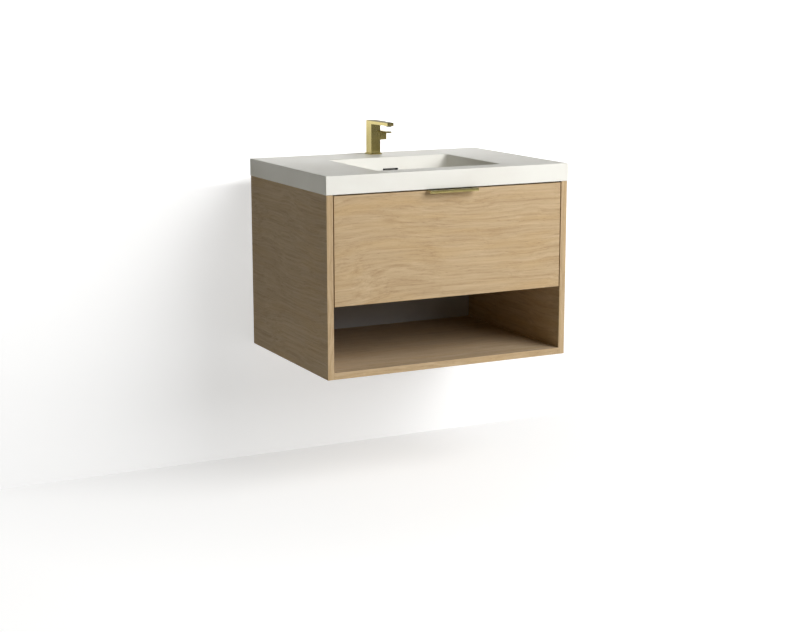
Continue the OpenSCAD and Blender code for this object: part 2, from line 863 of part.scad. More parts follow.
// Column and spout in one piece, with the cartridge bore and the waterway
module tap_body() {
    spout_z = surface_z + tap_h - spout_t;
    tip_y = column_front_y - spout_reach;
    aerator_y = tip_y + aerator_edge + aerator_r;
    rise_x = 2 * water_r - column_side_x;
    way_z = spout_z + spout_t / 2;
    color(GOLD) difference() {
        union() {
            at_tap() span([-tap_w / 2, -tap_d / 2, foot_t], [tap_w / 2, tap_d / 2, tap_h]);
            translate([0, 0, spout_z]) linear_extrude(spout_t) polygon([
                [-tap_w / 2, tap_y], [-tap_w / 2, column_front_y], [-spout_tip_w / 2, tip_y],
                [spout_tip_w / 2, tip_y], [tap_w / 2, column_front_y], [tap_w / 2, tap_y]]);
        }
        at_tap() cylinder(r = shank_r + fit, h = foot_t + socket_h);
        at_cartridge() translate([0, 0, -through]) cylinder(r = cartridge_r + fit, h = cartridge_len + through);
        translate([rise_x, tap_y, axis_z]) {
            cylinder(r = water_r, h = way_z - axis_z);
            rotate([0, 90, 0]) cylinder(r = water_r, h = pivot_x - rise_x);
        }
        translate([rise_x, tap_y, way_z]) rotate([0, 90, 0]) cylinder(r = water_r, h = -rise_x);
        translate([0, aerator_y, way_z]) rotate([-90, 0, 0]) cylinder(r = water_r, h = tap_y - aerator_y);
        translate([0, aerator_y, spout_z - through]) cylinder(r = aerator_r + fit, h = aerator_in + through);
        translate([0, aerator_y, spout_z]) cylinder(r = water_r, h = spout_t / 2);
    }
}

module tap_aerator() {
    tip_y = column_front_y - spout_reach;
    color(ZINC) translate([0, tip_y + aerator_edge + aerator_r, surface_z + tap_h - spout_t])
        difference() {
            translate([0, 0, -aerator_out]) cylinder(r = aerator_r, h = aerator_out + aerator_in);
            translate([0, 0, -aerator_out - through])
                cylinder(r = aerator_r - 2, h = aerator_out + through);
            cylinder(r = water_r, h = aerator_in + through);
        }
}

// Fixed housing of the cartridge, open to the side for its carrier
module tap_cartridge() {
    color(WHITE_PLASTIC) at_cartridge() difference() {
        cylinder(r = cartridge_r, h = cartridge_len);
        translate([0, 0, -through]) cylinder(r = carrier_r + fit, h = carrier_len + through);
        translate([0, 0, carrier_len]) cylinder(r = water_r, h = cartridge_len);
    }
}

// Turning carrier with the seat for the stem's ball
module cartridge_carrier() {
    color(DARK) at_cartridge() difference() {
        cylinder(r = carrier_r, h = carrier_len);
        translate([0, 0, -through])
            cylinder(r = ball_seat_r, h = pivot_in + stem_ball_r + fit + through);
    }
}

// Ball-ended stem that carries the handle
module tap_stem() {
    color(ZINC) translate([pivot_x, tap_y, axis_z]) rotate([0, 90, 0]) {
        sphere(r = stem_ball_r);
        cylinder(r = stem_r, h = pivot_in + handle_gap + stem_grip);
    }
}

// Square block on the stem, at the right of the column
module tap_handle() {
    inner = column_side_x + handle_gap;
    color(GOLD) difference() {
        span([inner, tap_y - handle_s / 2, axis_z - handle_s / 2],
            [inner + handle_len, tap_y + handle_s / 2, axis_z + handle_s / 2]);
        translate([inner - through, tap_y, axis_z]) rotate([0, 90, 0])
            cylinder(r = stem_r + fit, h = stem_grip + through);
    }
}

// Flat plate on the block, which reaches forwards beside the column
module tap_lever() {
    inner = column_side_x + handle_gap + lever_in;
    back = tap_y + handle_s / 2;
    low = axis_z + handle_s / 2;
    color(GOLD) span([inner, back - lever_len, low], [inner + lever_w, back, low + lever_t]);
}

module tap_shank() {
    low = -slab_t - shank_below;
    color(ZINC) at_tap() tube(shank_r, shank_r - shank_wall, low, foot_t + socket_h - low);
}

module tap_washer() {
    color(SEAL_BLACK) at_tap() tube(tap_washer_r, shank_r + loose, -slab_t - tap_washer_t, tap_washer_t);
}

module tap_nut() {
    color(ZINC) at_tap() translate([0, 0, -slab_t - tap_washer_t - tap_nut_h]) difference() {
        cylinder(r = tap_nut_r, h = tap_nut_h, $fn = 6);
        translate([0, 0, -through]) cylinder(r = shank_r + fit, h = tap_nut_h + 2 * through);
    }
}

// Copper tail: down through the shank, out to the side and down again to a plain end,
// with a soldered elbow at each turn
module tap_tail(side) {
    spread = tail_spread - tail_x;
    slant = spread / sin(tail_slope);
    top = surface_z + foot_t + socket_h;
    color(COPPER) translate([0, tap_y, 0]) on_side(-side) {
        translate([tail_x, 0, tail_bend_z]) {
            cylinder(r = tail_r, h = top - tail_bend_z);
            sphere(r = tail_r + elbow);
            rotate([0, 180 - tail_slope, 0]) cylinder(r = tail_r, h = slant);
        }
        translate([tail_spread, 0, tail_plain_z]) sphere(r = tail_r + elbow);
        translate([tail_spread, 0, tail_end_z]) cylinder(r = tail_r, h = tail_plain_z - tail_end_z);
    }
}

module tap_tail_hot() {
    tap_tail(-1);
}

module tap_tail_cold() {
    tap_tail(1);
}

// ---- drawer ----

// The space of the drawer bottom, grown on every side by a clearance
module bottom_space(grow) {
    edge = box_t - groove;
    low = box_z + groove_up;
    difference() {
        span([-box_x + edge - grow, box_y + edge - grow, low - grow],
            [box_x - edge + grow, box_back_y - edge + grow, low + box_bottom_t + grow]);
        span([-cut_w / 2 - edge + grow, cut_y - edge + grow, low - through],
            [cut_w / 2 + edge - grow, box_back_y + through, low + box_bottom_t + through]);
    }
}

// A board of the drawer box with its groove
module box_board(low, high) {
    color(PLY) difference() {
        span([low[0], low[1], box_z], [high[0], high[1], box_top_z]);
        bottom_space(loose);
        children();
    }
}

module drawer_side(side) {
    inner = box_x - box_t;
    box_board([min(side * inner, side * box_x), box_y], [max(side * inner, side * box_x), box_back_y])
        at_drawer_runner(side) screw_hole(screw_r, screw_len);
}

module drawer_side_left() {
    drawer_side(-1);
}

module drawer_side_right() {
    drawer_side(1);
}

module drawer_inner_front() {
    box_board([-box_x + box_t, box_y], [box_x - box_t, box_y + box_t])
        at_front_screws() screw_hole(screw_r, box_t + through);
}

module drawer_back(side) {
    inner = cut_w / 2 + box_t;
    outer = box_x - box_t;
    box_board([min(side * inner, side * outer), box_back_y - box_t],
        [max(side * inner, side * outer), box_back_y]);
}

module drawer_back_left() {
    drawer_back(-1);
}

module drawer_back_right() {
    drawer_back(1);
}

module cutout_wall(side) {
    inner = cut_w / 2;
    outer = cut_w / 2 + box_t;
    box_board([min(side * inner, side * outer), cut_y - box_t], [max(side * inner, side * outer), box_back_y]);
}

module cutout_wall_left() {
    cutout_wall(-1);
}

module cutout_wall_right() {
    cutout_wall(1);
}

module cutout_wall_front() {
    box_board([-cut_w / 2, cut_y - box_t], [cut_w / 2, cut_y]);
}

module drawer_bottom() {
    color(WHITE_PLASTIC) bottom_space(0);
}

module drawer_front() {
    color(OAK) difference() {
        span([-inner_x + front_gap, front_y, front_low_z], [inner_x - front_gap, front_back_y, front_top_z]);
        at_front_screws() screw_hole(screw_r, box_t + front_screw_in);
        at_pull_screws() screw_hole(pull_screw_r, pull_screw_len);
    }
}

// Folded metal strip over the top edge of the drawer front
module drawer_pull() {
    top = front_top_z + pull_t;
    lip_y = front_y - pull_out;
    back = front_back_y + pull_t;
    color(GOLD) difference() {
        along_x(pull_w) polygon([
            [lip_y, top], [back, top], [back, front_top_z - pull_leg],
            [front_back_y, front_top_z - pull_leg], [front_back_y, front_top_z],
            [lip_y + pull_t, front_top_z], [lip_y + pull_t, top - pull_lip], [lip_y, top - pull_lip]]);
        at_pull_screws() screw_hole(pull_screw_r, pull_screw_len);
    }
}

module pull_screws() {
    color(GOLD) at_pull_screws() screw(pull_screw_r, pull_screw_len, pull_screw_head_r, screw_head_h / 2);
}

module drawer_screws() {
    color(ZINC) {
        for (side = [-1, 1])
            at_drawer_runner(side) wood_screw();
        at_front_screws() screw(screw_r, box_t + front_screw_in, screw_head_r, screw_head_h);
    }
}

// ---- runners ----

// A sheet channel, open towards the drawer or towards the cabinet
module channel(web_u, lip_u, h) {
    web_to = web_u < lip_u ? web_u + runner_sheet : web_u - runner_sheet;
    along_y(runner_y, runner_len) polygon([
        [web_u, -h / 2], [lip_u, -h / 2], [lip_u, -h / 2 + runner_sheet],
        [web_to, -h / 2 + runner_sheet], [web_to, h / 2 - runner_sheet],
        [lip_u, h / 2 - runner_sheet], [lip_u, h / 2], [web_u, h / 2]]);
}

module runner_member(side, web_u, lip_u, h) {
    on_side(side) translate([-inner_x, 0, runner_z]) channel(web_u, lip_u, h);
}

module cabinet_runner(side) {
    color(ZINC) difference() {
        runner_member(side, 0, outer_lip, runner_h);
        at_cabinet_runner(side) screw_hole(screw_r, screw_len);
    }
}

module middle_runner(side) {
    color(ZINC) runner_member(side, middle_u, middle_lip, middle_h);
}

module drawer_runner(side) {
    color(ZINC) difference() {
        runner_member(side, runner_t, inner_lip, inner_h);
        at_drawer_runner(side) screw_hole(screw_r, screw_len);
    }
}

module cabinet_runner_left() {
    cabinet_runner(-1);
}

module cabinet_runner_right() {
    cabinet_runner(1);
}

module middle_runner_left() {
    middle_runner(-1);
}

module middle_runner_right() {
    middle_runner(1);
}

module drawer_runner_left() {
    drawer_runner(-1);
}

module drawer_runner_right() {
    drawer_runner(1);
}

// Upper and lower ball strips of both runners
module ball_cages(u, level) {
    color(ZINC) for (side = [-1, 1])
        on_side(side)
            for (way = [-1, 1])
                translate([-inner_x + u, cage_y, runner_z + way * level]) {
                    difference() {
                        span([-cage_w / 2, 0, -cage_t / 2], [cage_w / 2, cage_len, cage_t / 2]);
                        for (i = [0:ball_count - 1])
                            translate([0, (i + 0.5) * ball_pitch, -cage_t])
                                cylinder(r = ball_d / 2 + fit, h = 2 * cage_t);
                    }
                    for (i = [0:ball_count - 1])
                        translate([0, (i + 0.5) * ball_pitch, 0]) sphere(r = ball_d / 2);
                }
}

module outer_ball_cages() {
    ball_cages(outer_cage_u, middle_h / 2 + ball_room / 2);
}

module inner_ball_cages() {
    ball_cages(inner_cage_u, inner_h / 2 + ball_room / 2);
}

side_panel_left();
side_panel_right();
bottom_panel();
divider_panel();
shelf_back_panel();
hanging_rail_upper();
hanging_rail_lower();
front_stretcher();
carcass_dowels();
top_brackets();
cabinet_screws();
drawer_bumpers();
vanity_top();
overflow_insert();
waste_body();
waste_seal();
waste_gasket();
waste_nut();
waste_plug();
trap_inlet_pipe();
trap_inlet_nut();
trap_head();
trap_cup();
trap_outlet_nut();
trap_outlet_arm();
wall_flange();
tap_base_plate();
tap_body();
tap_aerator();
tap_cartridge();
cartridge_carrier();
tap_stem();
tap_handle();
tap_lever();
tap_shank();
tap_washer();
tap_nut();
tap_tail_hot();
tap_tail_cold();
drawer_front();
drawer_pull();
pull_screws();
drawer_side_left();
drawer_side_right();
drawer_inner_front();
drawer_back_left();
drawer_back_right();
cutout_wall_left();
cutout_wall_right();
cutout_wall_front();
drawer_bottom();
drawer_screws();
cabinet_runner_left();
cabinet_runner_right();
middle_runner_left();
middle_runner_right();
drawer_runner_left();
drawer_runner_right();
outer_ball_cages();
inner_ball_cages();
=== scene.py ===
# Wall-hung oak vanity: one drawer over an open shelf, a white cast top with a basin, a gold tap
import bmesh
import bpy
import json
import math
from mathutils import Matrix, Vector


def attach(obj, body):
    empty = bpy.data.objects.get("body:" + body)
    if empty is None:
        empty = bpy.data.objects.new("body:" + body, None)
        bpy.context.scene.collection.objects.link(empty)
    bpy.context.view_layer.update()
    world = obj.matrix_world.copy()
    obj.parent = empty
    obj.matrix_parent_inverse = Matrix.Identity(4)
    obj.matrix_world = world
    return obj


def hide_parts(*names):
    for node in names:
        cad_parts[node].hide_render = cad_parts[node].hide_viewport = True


print("vanity: loading the frame")
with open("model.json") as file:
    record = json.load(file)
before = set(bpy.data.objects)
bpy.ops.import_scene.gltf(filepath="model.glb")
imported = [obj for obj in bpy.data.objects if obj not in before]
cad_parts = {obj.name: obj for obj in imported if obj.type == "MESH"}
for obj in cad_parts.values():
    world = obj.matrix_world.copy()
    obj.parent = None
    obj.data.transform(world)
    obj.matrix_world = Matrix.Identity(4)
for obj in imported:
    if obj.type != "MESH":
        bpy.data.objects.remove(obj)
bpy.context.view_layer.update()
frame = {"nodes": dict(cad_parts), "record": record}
bodyOf = {node: body for body, members in frame["record"]["behaviour"]["bodies"].items()
          for node in members}
slotOf = {entry["node"]: entry["material_slot"] for entry in frame["record"]["subparts"]}

# Camera at the photograph's place
camera = {"place": (-2.1355, -4.4582, 0.6810), "turn": (78.695, 0.033, -26.796), "lens": 72.69,
          "sensor": 36, "sees": 60}
cameraData = bpy.data.cameras.new("photoCamera")
cameraData.lens = camera["lens"]
cameraData.sensor_width = camera["sensor"]
cameraData.clip_end = camera["sees"]
cameraObject = bpy.data.objects.new("photoCamera", cameraData)
cameraObject.location = camera["place"]
cameraObject.rotation_euler = [math.radians(a) for a in camera["turn"]]
bpy.context.collection.objects.link(cameraObject)
bpy.context.scene.camera = cameraObject
bpy.context.scene.view_settings.view_transform = "Standard"

white = (1, 1, 1, 1)


# A colour written as 0 to 255, as linear values
def tint(red, green, blue):
    linear = [((c / 255 + 0.055) / 1.055) ** 2.4 if c > 10 else c / 3294.6
              for c in (red, green, blue)]
    return (*linear, 1)


def addNode(tree, kind, inputs=None, **settings):
    node = tree.nodes.new("ShaderNode" + kind)
    for key, value in settings.items():
        setattr(node, key, value)
    for key, value in (inputs or {}).items():
        if isinstance(value, bpy.types.NodeSocket):
            tree.links.new(value, node.inputs[key])
        else:
            node.inputs[key].default_value = value
    return node


def bareMaterial(name):
    material = bpy.data.materials.new(name)
    material.use_nodes = True
    material.node_tree.nodes.clear()
    return material, material.node_tree


# A material with one shader, whose constants are named like its inputs
def newMaterial(name, **constants):
    material, tree = bareMaterial(name)
    inputs = {key.replace("_", " "): value for key, value in constants.items()}
    shader = addNode(tree, "BsdfPrincipled", inputs)
    addNode(tree, "OutputMaterial", {"Surface": shader.outputs["BSDF"]})
    return material, tree, shader


def objectPlace(tree):
    return addNode(tree, "TexCoord").outputs["Object"]


def partsOf(tree, vector):
    return addNode(tree, "SeparateXYZ", {"Vector": vector}).outputs


# The place with its axes reordered, so that the first one runs along the grain
def grainPlace(tree, along):
    parts = partsOf(tree, objectPlace(tree))
    order = {"X": "XYZ", "Y": "YXZ", "Z": "ZXY"}[along]
    return addNode(tree, "CombineXYZ", {k: parts[a] for k, a in zip("XYZ", order)}).outputs[0]


def vectorMath(tree, kind, a, b):
    return addNode(tree, "VectorMath", {0: a, 1: b}, operation=kind).outputs[0]


def mathOf(tree, kind, a, b=0.0, clamp=False):
    return addNode(tree, "Math", {0: a, 1: b}, operation=kind, use_clamp=clamp).outputs[0]


def timesOf(tree, a, b):
    return mathOf(tree, "MULTIPLY", a, b)


# Noise whose stretch is in cycles per metre along each axis
def noiseOf(tree, place, stretch, detail=2.0, roughness=0.5):
    scaled = vectorMath(tree, "MULTIPLY", place, stretch)
    return addNode(tree, "TexNoise", {"Vector": scaled, "Scale": 1.0, "Detail": detail,
                                      "Roughness": roughness, "Distortion": 0.0}).outputs[0]


def waveOf(tree, place, stretch):
    return mathOf(tree, "SUBTRACT", noiseOf(tree, place, stretch), 0.5)


# How far a value lies from its middle, either way
def awayFromHalf(tree, value):
    return mathOf(tree, "ABSOLUTE", mathOf(tree, "SUBTRACT", value, 0.5))


# The place pushed across the grain
def pushed(tree, place, drift):
    aside = addNode(tree, "CombineXYZ", {"Y": drift, "Z": drift}).outputs[0]
    return vectorMath(tree, "ADD", place, aside)


# A value brought from one range to another, held inside it
def rangeOf(tree, value, fromLow, fromHigh, low=0.0, high=1.0):
    return addNode(tree, "MapRange", {"Value": value, "From Min": fromLow, "From Max": fromHigh,
                                      "To Min": low, "To Max": high}, clamp=True).outputs[0]


def mixColours(tree, share, a, b):
    node = tree.nodes.new("ShaderNodeMix")
    node.data_type = "RGBA"
    for socket, value in ((node.inputs[0], share), (node.inputs[6], a), (node.inputs[7], b)):
        if isinstance(value, bpy.types.NodeSocket):
            tree.links.new(value, socket)
        else:
            socket.default_value = value
    return node.outputs[2]


# Two tints of a finish, mixed by a value's range
def twoTone(tree, value, valueRange, first, second):
    return mixColours(tree, rangeOf(tree, value, *valueRange), tint(*first), tint(*second))


# Colour, a gloss that goes by a value's range, and a fine relief of the given depth in metres
def coat(tree, shader, base, value, valueRange, rough, height, strength, depth):
    tree.links.new(base, shader.inputs["Base Color"])
    tree.links.new(rangeOf(tree, value, *valueRange, *rough), shader.inputs["Roughness"])
    bump = addNode(tree, "Bump", {"Height": height, "Strength": strength, "Distance": depth})
    tree.links.new(bump.outputs[0], shader.inputs["Normal"])


# Materials: colours, cycles per metre along and across the grain, strengths and noise ranges
print("vanity: making the materials")

# Where most of a noise's values lie
middle = (0.3, 0.7)

# The shelf's tint is painted shade: it makes the oak greyer and darker for the dim inside of the
# shelf
oakFinish = {"shine": 0.22, "rough": (0.46, 0.60), "bump": 0.35, "relief": 0.0002,
             "shelfWash": (0.84, 0.88, 0.98)}
oakColours = {"dark": (166, 138, 102), "mid": (197, 172, 137), "pale": (211, 188, 153),
              "pore": (130, 102, 70), "line": (152, 123, 87), "fleck": (217, 197, 162),
              "golden": (196, 165, 119)}
oakFigure = {"slow": (2.6, 4.2, 4.2), "quick": (7, 13, 13), "bands": (0.9, 17, 17),
             "lines": (2.8, 155, 155), "fibres": (10, 760, 760), "pores": (42, 1500, 1500),
             "flecks": (34, 300, 300), "rings": (1.3, 74, 74), "golden": (3, 24, 24)}

# How far the slow and quick waves push the lines, in metres, and how strongly each part shows
oakStrength = {"slow": 0.064, "quick": 0.005, "bands": 0.2, "lines": 0.8, "mid": 0.4,
               "golden": 0.5, "rings": 0.34, "fibres": 0.22, "flecks": 0.30, "relief": 0.4}

# Between which values each part grows; rings and pores also go by the lines' own value
oakRange = {"tone": (0.33, 0.67), "fibres": (0.35, 0.7), "pores": (0.60, 0.70),
            "flecks": (0.66, 0.74), "golden": (0.45, 0.7), "rings": (0.04, 0.0),
            "ringLines": (0.62, 0.40), "poreLines": (0.62, 0.36, 0.15, 0.75)}


# Oak veneer with its fibres along one axis: wavy growth lines, fine fibres, open pores, flecks
def oakVeneer(name, along, paintedShade=None):
    material, tree, shader = newMaterial(name, IOR=1.45, Specular_IOR_Level=oakFinish["shine"])
    colours = {part: tint(*colour) for part, colour in oakColours.items()}
    figure, much, within = oakFigure, oakStrength, oakRange
    place = grainPlace(tree, along)
    slow = timesOf(tree, waveOf(tree, place, figure["slow"]), much["slow"])
    quick = timesOf(tree, waveOf(tree, place, figure["quick"]), much["quick"])
    bent = pushed(tree, place, mathOf(tree, "ADD", slow, quick))
    bands = noiseOf(tree, bent, figure["bands"], 3)
    lines = noiseOf(tree, bent, figure["lines"], 5, 0.66)
    fibres = noiseOf(tree, bent, figure["fibres"], 3, 0.6)
    pores = rangeOf(tree, noiseOf(tree, bent, figure["pores"]), *within["pores"])
    flecks = rangeOf(tree, noiseOf(tree, bent, figure["flecks"]), *within["flecks"])
    rings = awayFromHalf(tree, noiseOf(tree, bent, figure["rings"]))
    golden = rangeOf(tree, noiseOf(tree, bent, figure["golden"], 3, 0.6), *within["golden"])
    tone = mathOf(tree, "ADD", timesOf(tree, bands, much["bands"]),
                  timesOf(tree, lines, much["lines"]))
    ringMask = timesOf(tree, rangeOf(tree, rings, *within["rings"], 0.0, much["rings"]),
                       rangeOf(tree, lines, *within["ringLines"]))
    fibreMask = timesOf(tree, rangeOf(tree, fibres, *within["fibres"]), much["fibres"])
    poreMask = timesOf(tree, pores, rangeOf(tree, lines, *within["poreLines"]))
    base = mixColours(tree, rangeOf(tree, tone, *within["tone"]), colours["dark"], colours["pale"])
    layers = [(much["mid"], "mid"), (timesOf(tree, golden, much["golden"]), "golden"),
              (ringMask, "line"), (fibreMask, "dark"),
              (timesOf(tree, flecks, much["flecks"]), "fleck"), (poreMask, "pore")]
    for share, colour in layers:
        base = mixColours(tree, share, base, colours[colour])
    # Painted shade: the colour is made greyer and darker for a face that lies in dim light
    if paintedShade:
        base = vectorMath(tree, "MULTIPLY", base, paintedShade)
    height = mathOf(tree, "SUBTRACT", timesOf(tree, fibres, much["relief"]), poreMask)
    coat(tree, shader, base, fibres, middle, oakFinish["rough"], height, oakFinish["bump"],
         oakFinish["relief"])
    return material


plyFinish = {"face": (222, 198, 158), "line": (203, 174, 131), "darkLayer": (176, 140, 98),
             "paleLayer": (226, 205, 168), "layer": 0.0014, "rough": (0.7, 0.5), "bump": 0.25,
             "relief": 0.0002, "push": 0.05, "fibreShare": 0.25, "fibreRelief": 0.5,
             "speckleShare": 0.35}
plyFigure = {"wave": (2, 5, 5), "lines": (3, 70, 70), "fibres": (20, 900, 900),
             "speckle": (500, 500, 500)}
plyRange = {"lines": (0.35, 0.68), "layer": (0.22, 0.28), "facing": (0.75, 0.9)}


# Lacquered birch plywood: calm faces, and layers on the edges across the thin axis
def plywood(name, thin):
    material, tree, shader = newMaterial(name, IOR=1.45, Coat_Weight=0.1, Coat_Roughness=0.3)
    line, darkLayer = tint(*plyFinish["line"]), tint(*plyFinish["darkLayer"])
    place = grainPlace(tree, "Y" if thin == "X" else "X")
    wave = timesOf(tree, waveOf(tree, place, plyFigure["wave"]), plyFinish["push"])
    bent = pushed(tree, place, wave)
    lines = noiseOf(tree, bent, plyFigure["lines"], 4, 0.6)
    fibres = noiseOf(tree, bent, plyFigure["fibres"])
    face = twoTone(tree, lines, plyRange["lines"], plyFinish["face"], plyFinish["line"])
    face = mixColours(tree, timesOf(tree, fibres, plyFinish["fibreShare"]), face, line)
    # Counted from two metres before the middle, so that no board meets a negative count
    depth = mathOf(tree, "ADD", partsOf(tree, objectPlace(tree))[thin], 2.0)
    step = mathOf(tree, "DIVIDE", depth, 2 * plyFinish["layer"])
    layer = rangeOf(tree, awayFromHalf(tree, mathOf(tree, "FRACT", step)), *plyRange["layer"])
    edge = mixColours(tree, layer, darkLayer, tint(*plyFinish["paleLayer"]))
    speckle = noiseOf(tree, objectPlace(tree), plyFigure["speckle"])
    edge = mixColours(tree, timesOf(tree, speckle, plyFinish["speckleShare"]), edge, darkLayer)
    facing = partsOf(tree, addNode(tree, "TexCoord").outputs["Normal"])[thin]
    onFace = rangeOf(tree, mathOf(tree, "ABSOLUTE", facing), *plyRange["facing"])
    onEdge = timesOf(tree, layer, mathOf(tree, "SUBTRACT", 1.0, onFace))
    height = mathOf(tree, "ADD", timesOf(tree, fibres, plyFinish["fibreRelief"]), onEdge)
    coat(tree, shader, mixColours(tree, onFace, edge, face), onFace, (0, 1), plyFinish["rough"],
         height, plyFinish["bump"], plyFinish["relief"])
    return material


mouldedFinish = {"broad": (3, 3, 3), "fineRange": (0.4, 0.8), "fineShare": 0.25, "relief": 0.0002}


# A plain material whose tone and gloss wander slightly, with a fine skin
def moulded(name, colour, shade, rough, grain, skin, **constants):
    material, tree, shader = newMaterial(name, **constants)
    place = objectPlace(tree)
    broad = noiseOf(tree, place, mouldedFinish["broad"], 3, 0.6)
    fine = noiseOf(tree, place, (grain, grain, grain), 2, 0.6)
    mottle = timesOf(tree, rangeOf(tree, fine, *mouldedFinish["fineRange"]),
                     mouldedFinish["fineShare"])
    base = mixColours(tree, mottle, twoTone(tree, broad, middle, colour, shade), tint(*shade))
    coat(tree, shader, base, fine, middle, rough, fine, skin, mouldedFinish["relief"])
    return material


castFinish = {"pale": (239, 238, 231), "deep": (235, 233, 225), "broad": (5, 5, 5),
              "fine": (900, 900, 900), "range": (0.35, 0.65), "rough": (0.36, 0.44),
              "fineShare": 0.3, "bump": 0.06, "relief": 0.0006}


# Satin gel coat of the cast top
def castSurface(name):
    material, tree, shader = newMaterial(name, IOR=1.47, Coat_Weight=0.12, Coat_Roughness=0.28)
    place = objectPlace(tree)
    broad = noiseOf(tree, place, castFinish["broad"], 4, 0.6)
    fine = noiseOf(tree, place, castFinish["fine"])
    base = twoTone(tree, broad, castFinish["range"], castFinish["pale"], castFinish["deep"])
    height = mathOf(tree, "ADD", timesOf(tree, fine, castFinish["fineShare"]), broad)
    coat(tree, shader, base, broad, middle, castFinish["rough"], height, castFinish["bump"],
         castFinish["relief"])
    return material


goldFinish = {"bright": (219, 204, 141), "deep": (200, 183, 115), "brush": (14, 2600, 2600),
              "cloud": (22, 30, 30), "brushShare": 0.6, "cloudShare": 0.4, "range": (0.35, 0.65),
              "rough": (0.15, 0.23), "bump": 0.18, "relief": 0.0001}


# Brushed gold with its brush lines along one axis
def brushedGold(name, along):
    material, tree, shader = newMaterial(name, Metallic=1.0, Anisotropic=0.35)
    place = grainPlace(tree, along)
    brush = noiseOf(tree, place, goldFinish["brush"], 3, 0.65)
    cloud = noiseOf(tree, place, goldFinish["cloud"], 3)
    tone = mathOf(tree, "ADD", timesOf(tree, brush, goldFinish["brushShare"]),
                  timesOf(tree, cloud, goldFinish["cloudShare"]))
    base = twoTone(tree, tone, goldFinish["range"], goldFinish["deep"], goldFinish["bright"])
    coat(tree, shader, base, brush, middle, goldFinish["rough"], brush, goldFinish["bump"],
         goldFinish["relief"])
    return material


zincFinish = {"blue": (196, 198, 203), "grey": (216, 216, 212), "cloud": (30, 60, 60),
              "rolled": (12, 1500, 1500), "range": (0.35, 0.65), "rolledShare": 0.5,
              "gloss": (0.5, 1.0), "rough": (0.24, 0.42), "bump": 0.12, "relief": 0.0001,
              "threadBump": 0.9, "threadPitch": 0.0015}


# Zinc-plated steel: cloudy, with fine rolling lines along one axis or a thread's crests
def zincSteel(name, along, threadPitch=0.0):
    material, tree, shader = newMaterial(name, Metallic=1.0)
    place = grainPlace(tree, along)
    cloud = noiseOf(tree, place, zincFinish["cloud"], 4, 0.6)
    rolled = noiseOf(tree, place, zincFinish["rolled"])
    base = twoTone(tree, cloud, zincFinish["range"], zincFinish["blue"], zincFinish["grey"])
    height, strength, depth = rolled, zincFinish["bump"], zincFinish["relief"]
    if threadPitch:
        # Counted from one metre below the middle
        rise = mathOf(tree, "ADD", partsOf(tree, objectPlace(tree))["Z"], 1.0)
        turns = mathOf(tree, "FRACT", mathOf(tree, "DIVIDE", rise, threadPitch))
        height, strength, depth = awayFromHalf(tree, turns), zincFinish["threadBump"], threadPitch
    gloss = mathOf(tree, "ADD", cloud, timesOf(tree, rolled, zincFinish["rolledShare"]))
    coat(tree, shader, base, gloss, zincFinish["gloss"], zincFinish["rough"], height, strength,
         depth)
    return material


copperFinish = {"bright": (214, 150, 116), "dull": (178, 112, 80), "cloud": (40, 40, 25),
                "drawn": (1400, 1400, 12), "range": (0.35, 0.7), "rough": (0.24, 0.42),
                "bump": 0.15, "relief": 0.0001}


def copperTube(name):
    material, tree, shader = newMaterial(name, Metallic=1.0)
    place = objectPlace(tree)
    cloud = noiseOf(tree, place, copperFinish["cloud"], 4, 0.65)
    drawn = noiseOf(tree, place, copperFinish["drawn"])
    base = twoTone(tree, cloud, copperFinish["range"], copperFinish["bright"],
                   copperFinish["dull"])
    coat(tree, shader, base, cloud, middle, copperFinish["rough"], drawn, copperFinish["bump"],
         copperFinish["relief"])
    return material


beechFinish = {"pale": (220, 184, 140), "dark": (196, 155, 112), "lines": (12, 500, 500),
               "rough": (0.55, 0.7), "bump": 0.2, "relief": 0.0002}


def beechWood(name):
    material, tree, shader = newMaterial(name, IOR=1.45)
    lines = noiseOf(tree, grainPlace(tree, "X"), beechFinish["lines"], 3)
    base = mixColours(tree, lines, tint(*beechFinish["pale"]), tint(*beechFinish["dark"]))
    coat(tree, shader, base, lines, middle, beechFinish["rough"], lines, beechFinish["bump"],
         beechFinish["relief"])
    return material


oakAlong = {axis: oakVeneer("oakAlong" + axis, axis) for axis in "XYZ"}
# The shelf's upper face: the same oak with painted shade
shelfOak = oakVeneer("shelfOak", "X", oakFinish["shelfWash"])
plyThin = {axis: plywood("plywoodThin" + axis, axis) for axis in "XYZ"}
goldAlong = {axis: brushedGold("brushedGoldAlong" + axis, axis) for axis in "XYZ"}
castWhite = castSurface("castWhite")
steelSheet = zincSteel("zincSteel", "Y")
steelThread = zincSteel("zincThread", "Z", zincFinish["threadPitch"])
copper = copperTube("copperTube")
beech = beechWood("beech")

# Colour, shade, roughness, cycles per metre of the skin and its strength
greyBoard = moulded("greyBoard", (182, 184, 188), (174, 176, 180), (0.5, 0.62), 1400, 0.2,
                    IOR=1.45)
# Black plastic. Its near-black tone is partly painted shade, so that the overflow slot looks as
# dark as deep shade
blackPlastic = moulded("blackPlastic", (12, 12, 13), (8, 8, 9), (0.5, 0.62), 900, 0.15,
                       IOR=1.45, Specular_IOR_Level=0.2)
whitePlastic = moulded("whitePlastic", (232, 232, 229), (224, 224, 220), (0.28, 0.4), 700, 0.12,
                       IOR=1.48)
drawerBoard = moulded("drawerBoard", (236, 233, 226), (229, 225, 216), (0.4, 0.5), 1600, 0.2,
                      IOR=1.45)
blackRubber = moulded("blackRubber", (30, 30, 30), (42, 42, 41), (0.7, 0.85), 1200, 0.3,
                      IOR=1.4)
clearBumper = moulded("clearBumper", (226, 228, 226), (210, 213, 211), (0.2, 0.3), 700, 0.1,
                      IOR=1.42, Transmission_Weight=0.55)

